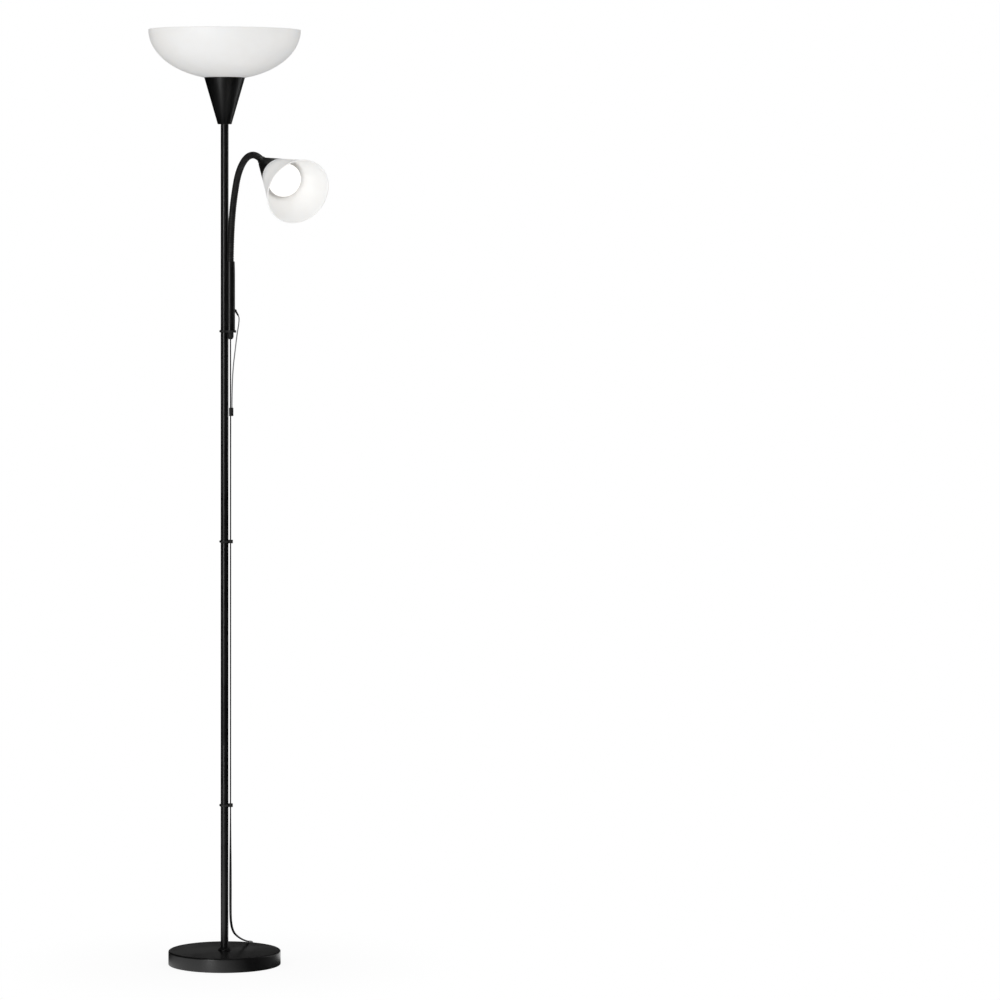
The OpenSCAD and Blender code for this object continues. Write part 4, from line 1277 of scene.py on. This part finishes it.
def fair(route, step):
    """Points a step apart on a smooth curve through the route, each with its turn."""
    knots = [Vector(p) for p in route]
    gaps = [(b - a).to_3d().length for a, b in zip(knots, knots[1:])]
    slopes = [(b - a) / g for a, b, g in zip(knots, knots[1:], gaps)]
    rates = [slopes[0]]
    for k in range(1, len(slopes)):
        a, b = gaps[k - 1], gaps[k]
        rates.append((slopes[k] * a + slopes[k - 1] * b) / (a + b))
    rates.append(slopes[-1])
    out = [knots[0]]
    for k, gap in enumerate(gaps):
        count = max(1, round(gap / step))
        for j in range(1, count + 1):
            t = j / count
            out.append(
                (2 * t ** 3 - 3 * t * t + 1) * knots[k] + (t ** 3 - 2 * t * t + t) * gap * rates[k]
                + (3 * t * t - 2 * t ** 3) * knots[k + 1] + (t ** 3 - t * t) * gap * rates[k + 1]
            )
    return out


def flat_section():
    """Outline of the two-core lead: two round cores and a web, across and through."""
    lobe, centre, waist = LEAD_T / 2, (LEAD_W - LEAD_T) / 2, 0.8 * MM
    points = []
    for sign, facing in ((1, 0), (-1, 180)):
        for a in range(-120, 121, 24):
            turn = radians(a + facing)
            points.append((sign * centre + lobe * cos(turn), lobe * sin(turn)))
        points.append((0, sign * waist))
    return points


def round_section(diameter, sides=16):
    turns = [2 * pi * k / sides for k in range(sides)]
    return [(diameter / 2 * cos(a), diameter / 2 * sin(a)) for a in turns]


def swept(knots, section):
    """A closed tube of that section along the knots, with UVs in metres along it."""
    places = [k.to_3d() * MM for k in knots]
    count, sides = len(places), len(section)
    build = bmesh.new()
    along = build.loops.layers.uv.new("along")
    rings, runs = [], [0.0]
    for k, place in enumerate(places):
        ahead = (places[min(k + 1, count - 1)] - places[max(k - 1, 0)]).normalized()
        turn = radians(knots[k].w)
        side = Vector((cos(turn), sin(turn), 0))
        side = (side - side.dot(ahead) * ahead).normalized()
        out = ahead.cross(side)
        rings.append([build.verts.new(place + a * side + b * out) for a, b in section])
        if k:
            runs.append(runs[-1] + (place - places[k - 1]).length)
    for k in range(count - 1):
        for j in range(sides):
            n = (j + 1) % sides
            face = build.faces.new((rings[k][j], rings[k][n], rings[k + 1][n], rings[k + 1][j]))
            corners = ((runs[k], j), (runs[k], j + 1), (runs[k + 1], j + 1), (runs[k + 1], j))
            for loop, (run, step) in zip(face.loops, corners):
                loop[along].uv = (run, step / sides)
    build.faces.new(rings[0][::-1])
    build.faces.new(rings[-1])
    bmesh.ops.recalc_face_normals(build, faces=build.faces)
    mesh = as_mesh(build, "swept")
    smooth(mesh, 50)
    return mesh, places, runs[-1]


def make_leads():
    pieces = make_lead_fittings()
    mesh, path, length = swept(fair(whole_lead_route(), 3.4), flat_section())
    lead = link_piece("mains_flat_lead", mesh, "jacket", "stand", "black_lead", "mains_lead",
                      "mains_link", "mains_coil", "mains_tail")
    thin_route = [(*p, 0) for p in THIN_ROUTE]
    mesh, path, length = swept(fair(laid(thin_route), 3), round_section(THIN_D))
    thin = link_piece("reading_lamp_lead", mesh, "grey_jacket", "stand", "grey_lead",
                      "reading_lead")


def make_lead_fittings():
    """What the lead carries: its switch with two rockers, the plug and the coil's tie."""
    low = eased_piece("switch_lower_shell", "switch_base", 0.7 * MM, 3, "case", "black_plastic")
    high = eased_piece("switch_upper_shell", "switch_cover", 0.7 * MM, 3, "case", "black_plastic")
    low.parent = high
    low.matrix_parent_inverse = NO_TURN
    rockers = [
        eased_piece(f"switch_rocker_{n}", f"rocker_{n}", 0.5 * MM, 3, "rocker", "black_plastic",
                    body=f"switch_rocker_{n}")
        for n in (1, 2)
    ]
    return [
        high, *rockers,
        eased_piece("mains_plug", "plug_body", 1.2 * MM, 4, "case", "black_plastic"),
        eased_piece("plug_blade_pair", "plug_blades", 0.4 * MM, 2, "brass", "brass"),
        eased_piece("coil_tie_band", "coil_tie", 0.3 * MM, 2, "rubber", "clip_rubber"),
    ]


# ---------------------------------------------------------------- parts kept from the frame

KEPT = {
    "base_pad": "foam", "base_weight": "iron", "base_washer": "zinc", "hex_nuts": "zinc",
    "threaded_nipples": "zinc", "pole_couplers": "zinc", "bowl_carrier": "zinc",
    "uplight_contacts": "brass", "reading_contacts": "brass", "uplight_wire": "grey_jacket",
    "arm_screws": "zinc", "sleeve_bushing": "bush",
}


def dress_kept_parts():
    """Finishes on the parts that keep their CAD shape, mostly hidden ones."""
    for node, finish in KEPT.items():
        data = NODES[node].data
        data.materials.clear()
        data.materials.append(FINISHES[finish])


make_camera()
make_leads()
studio()
make_base()
make_pole()
make_uplight()
make_sleeve()
make_gooseneck()
make_head()
dress_kept_parts()
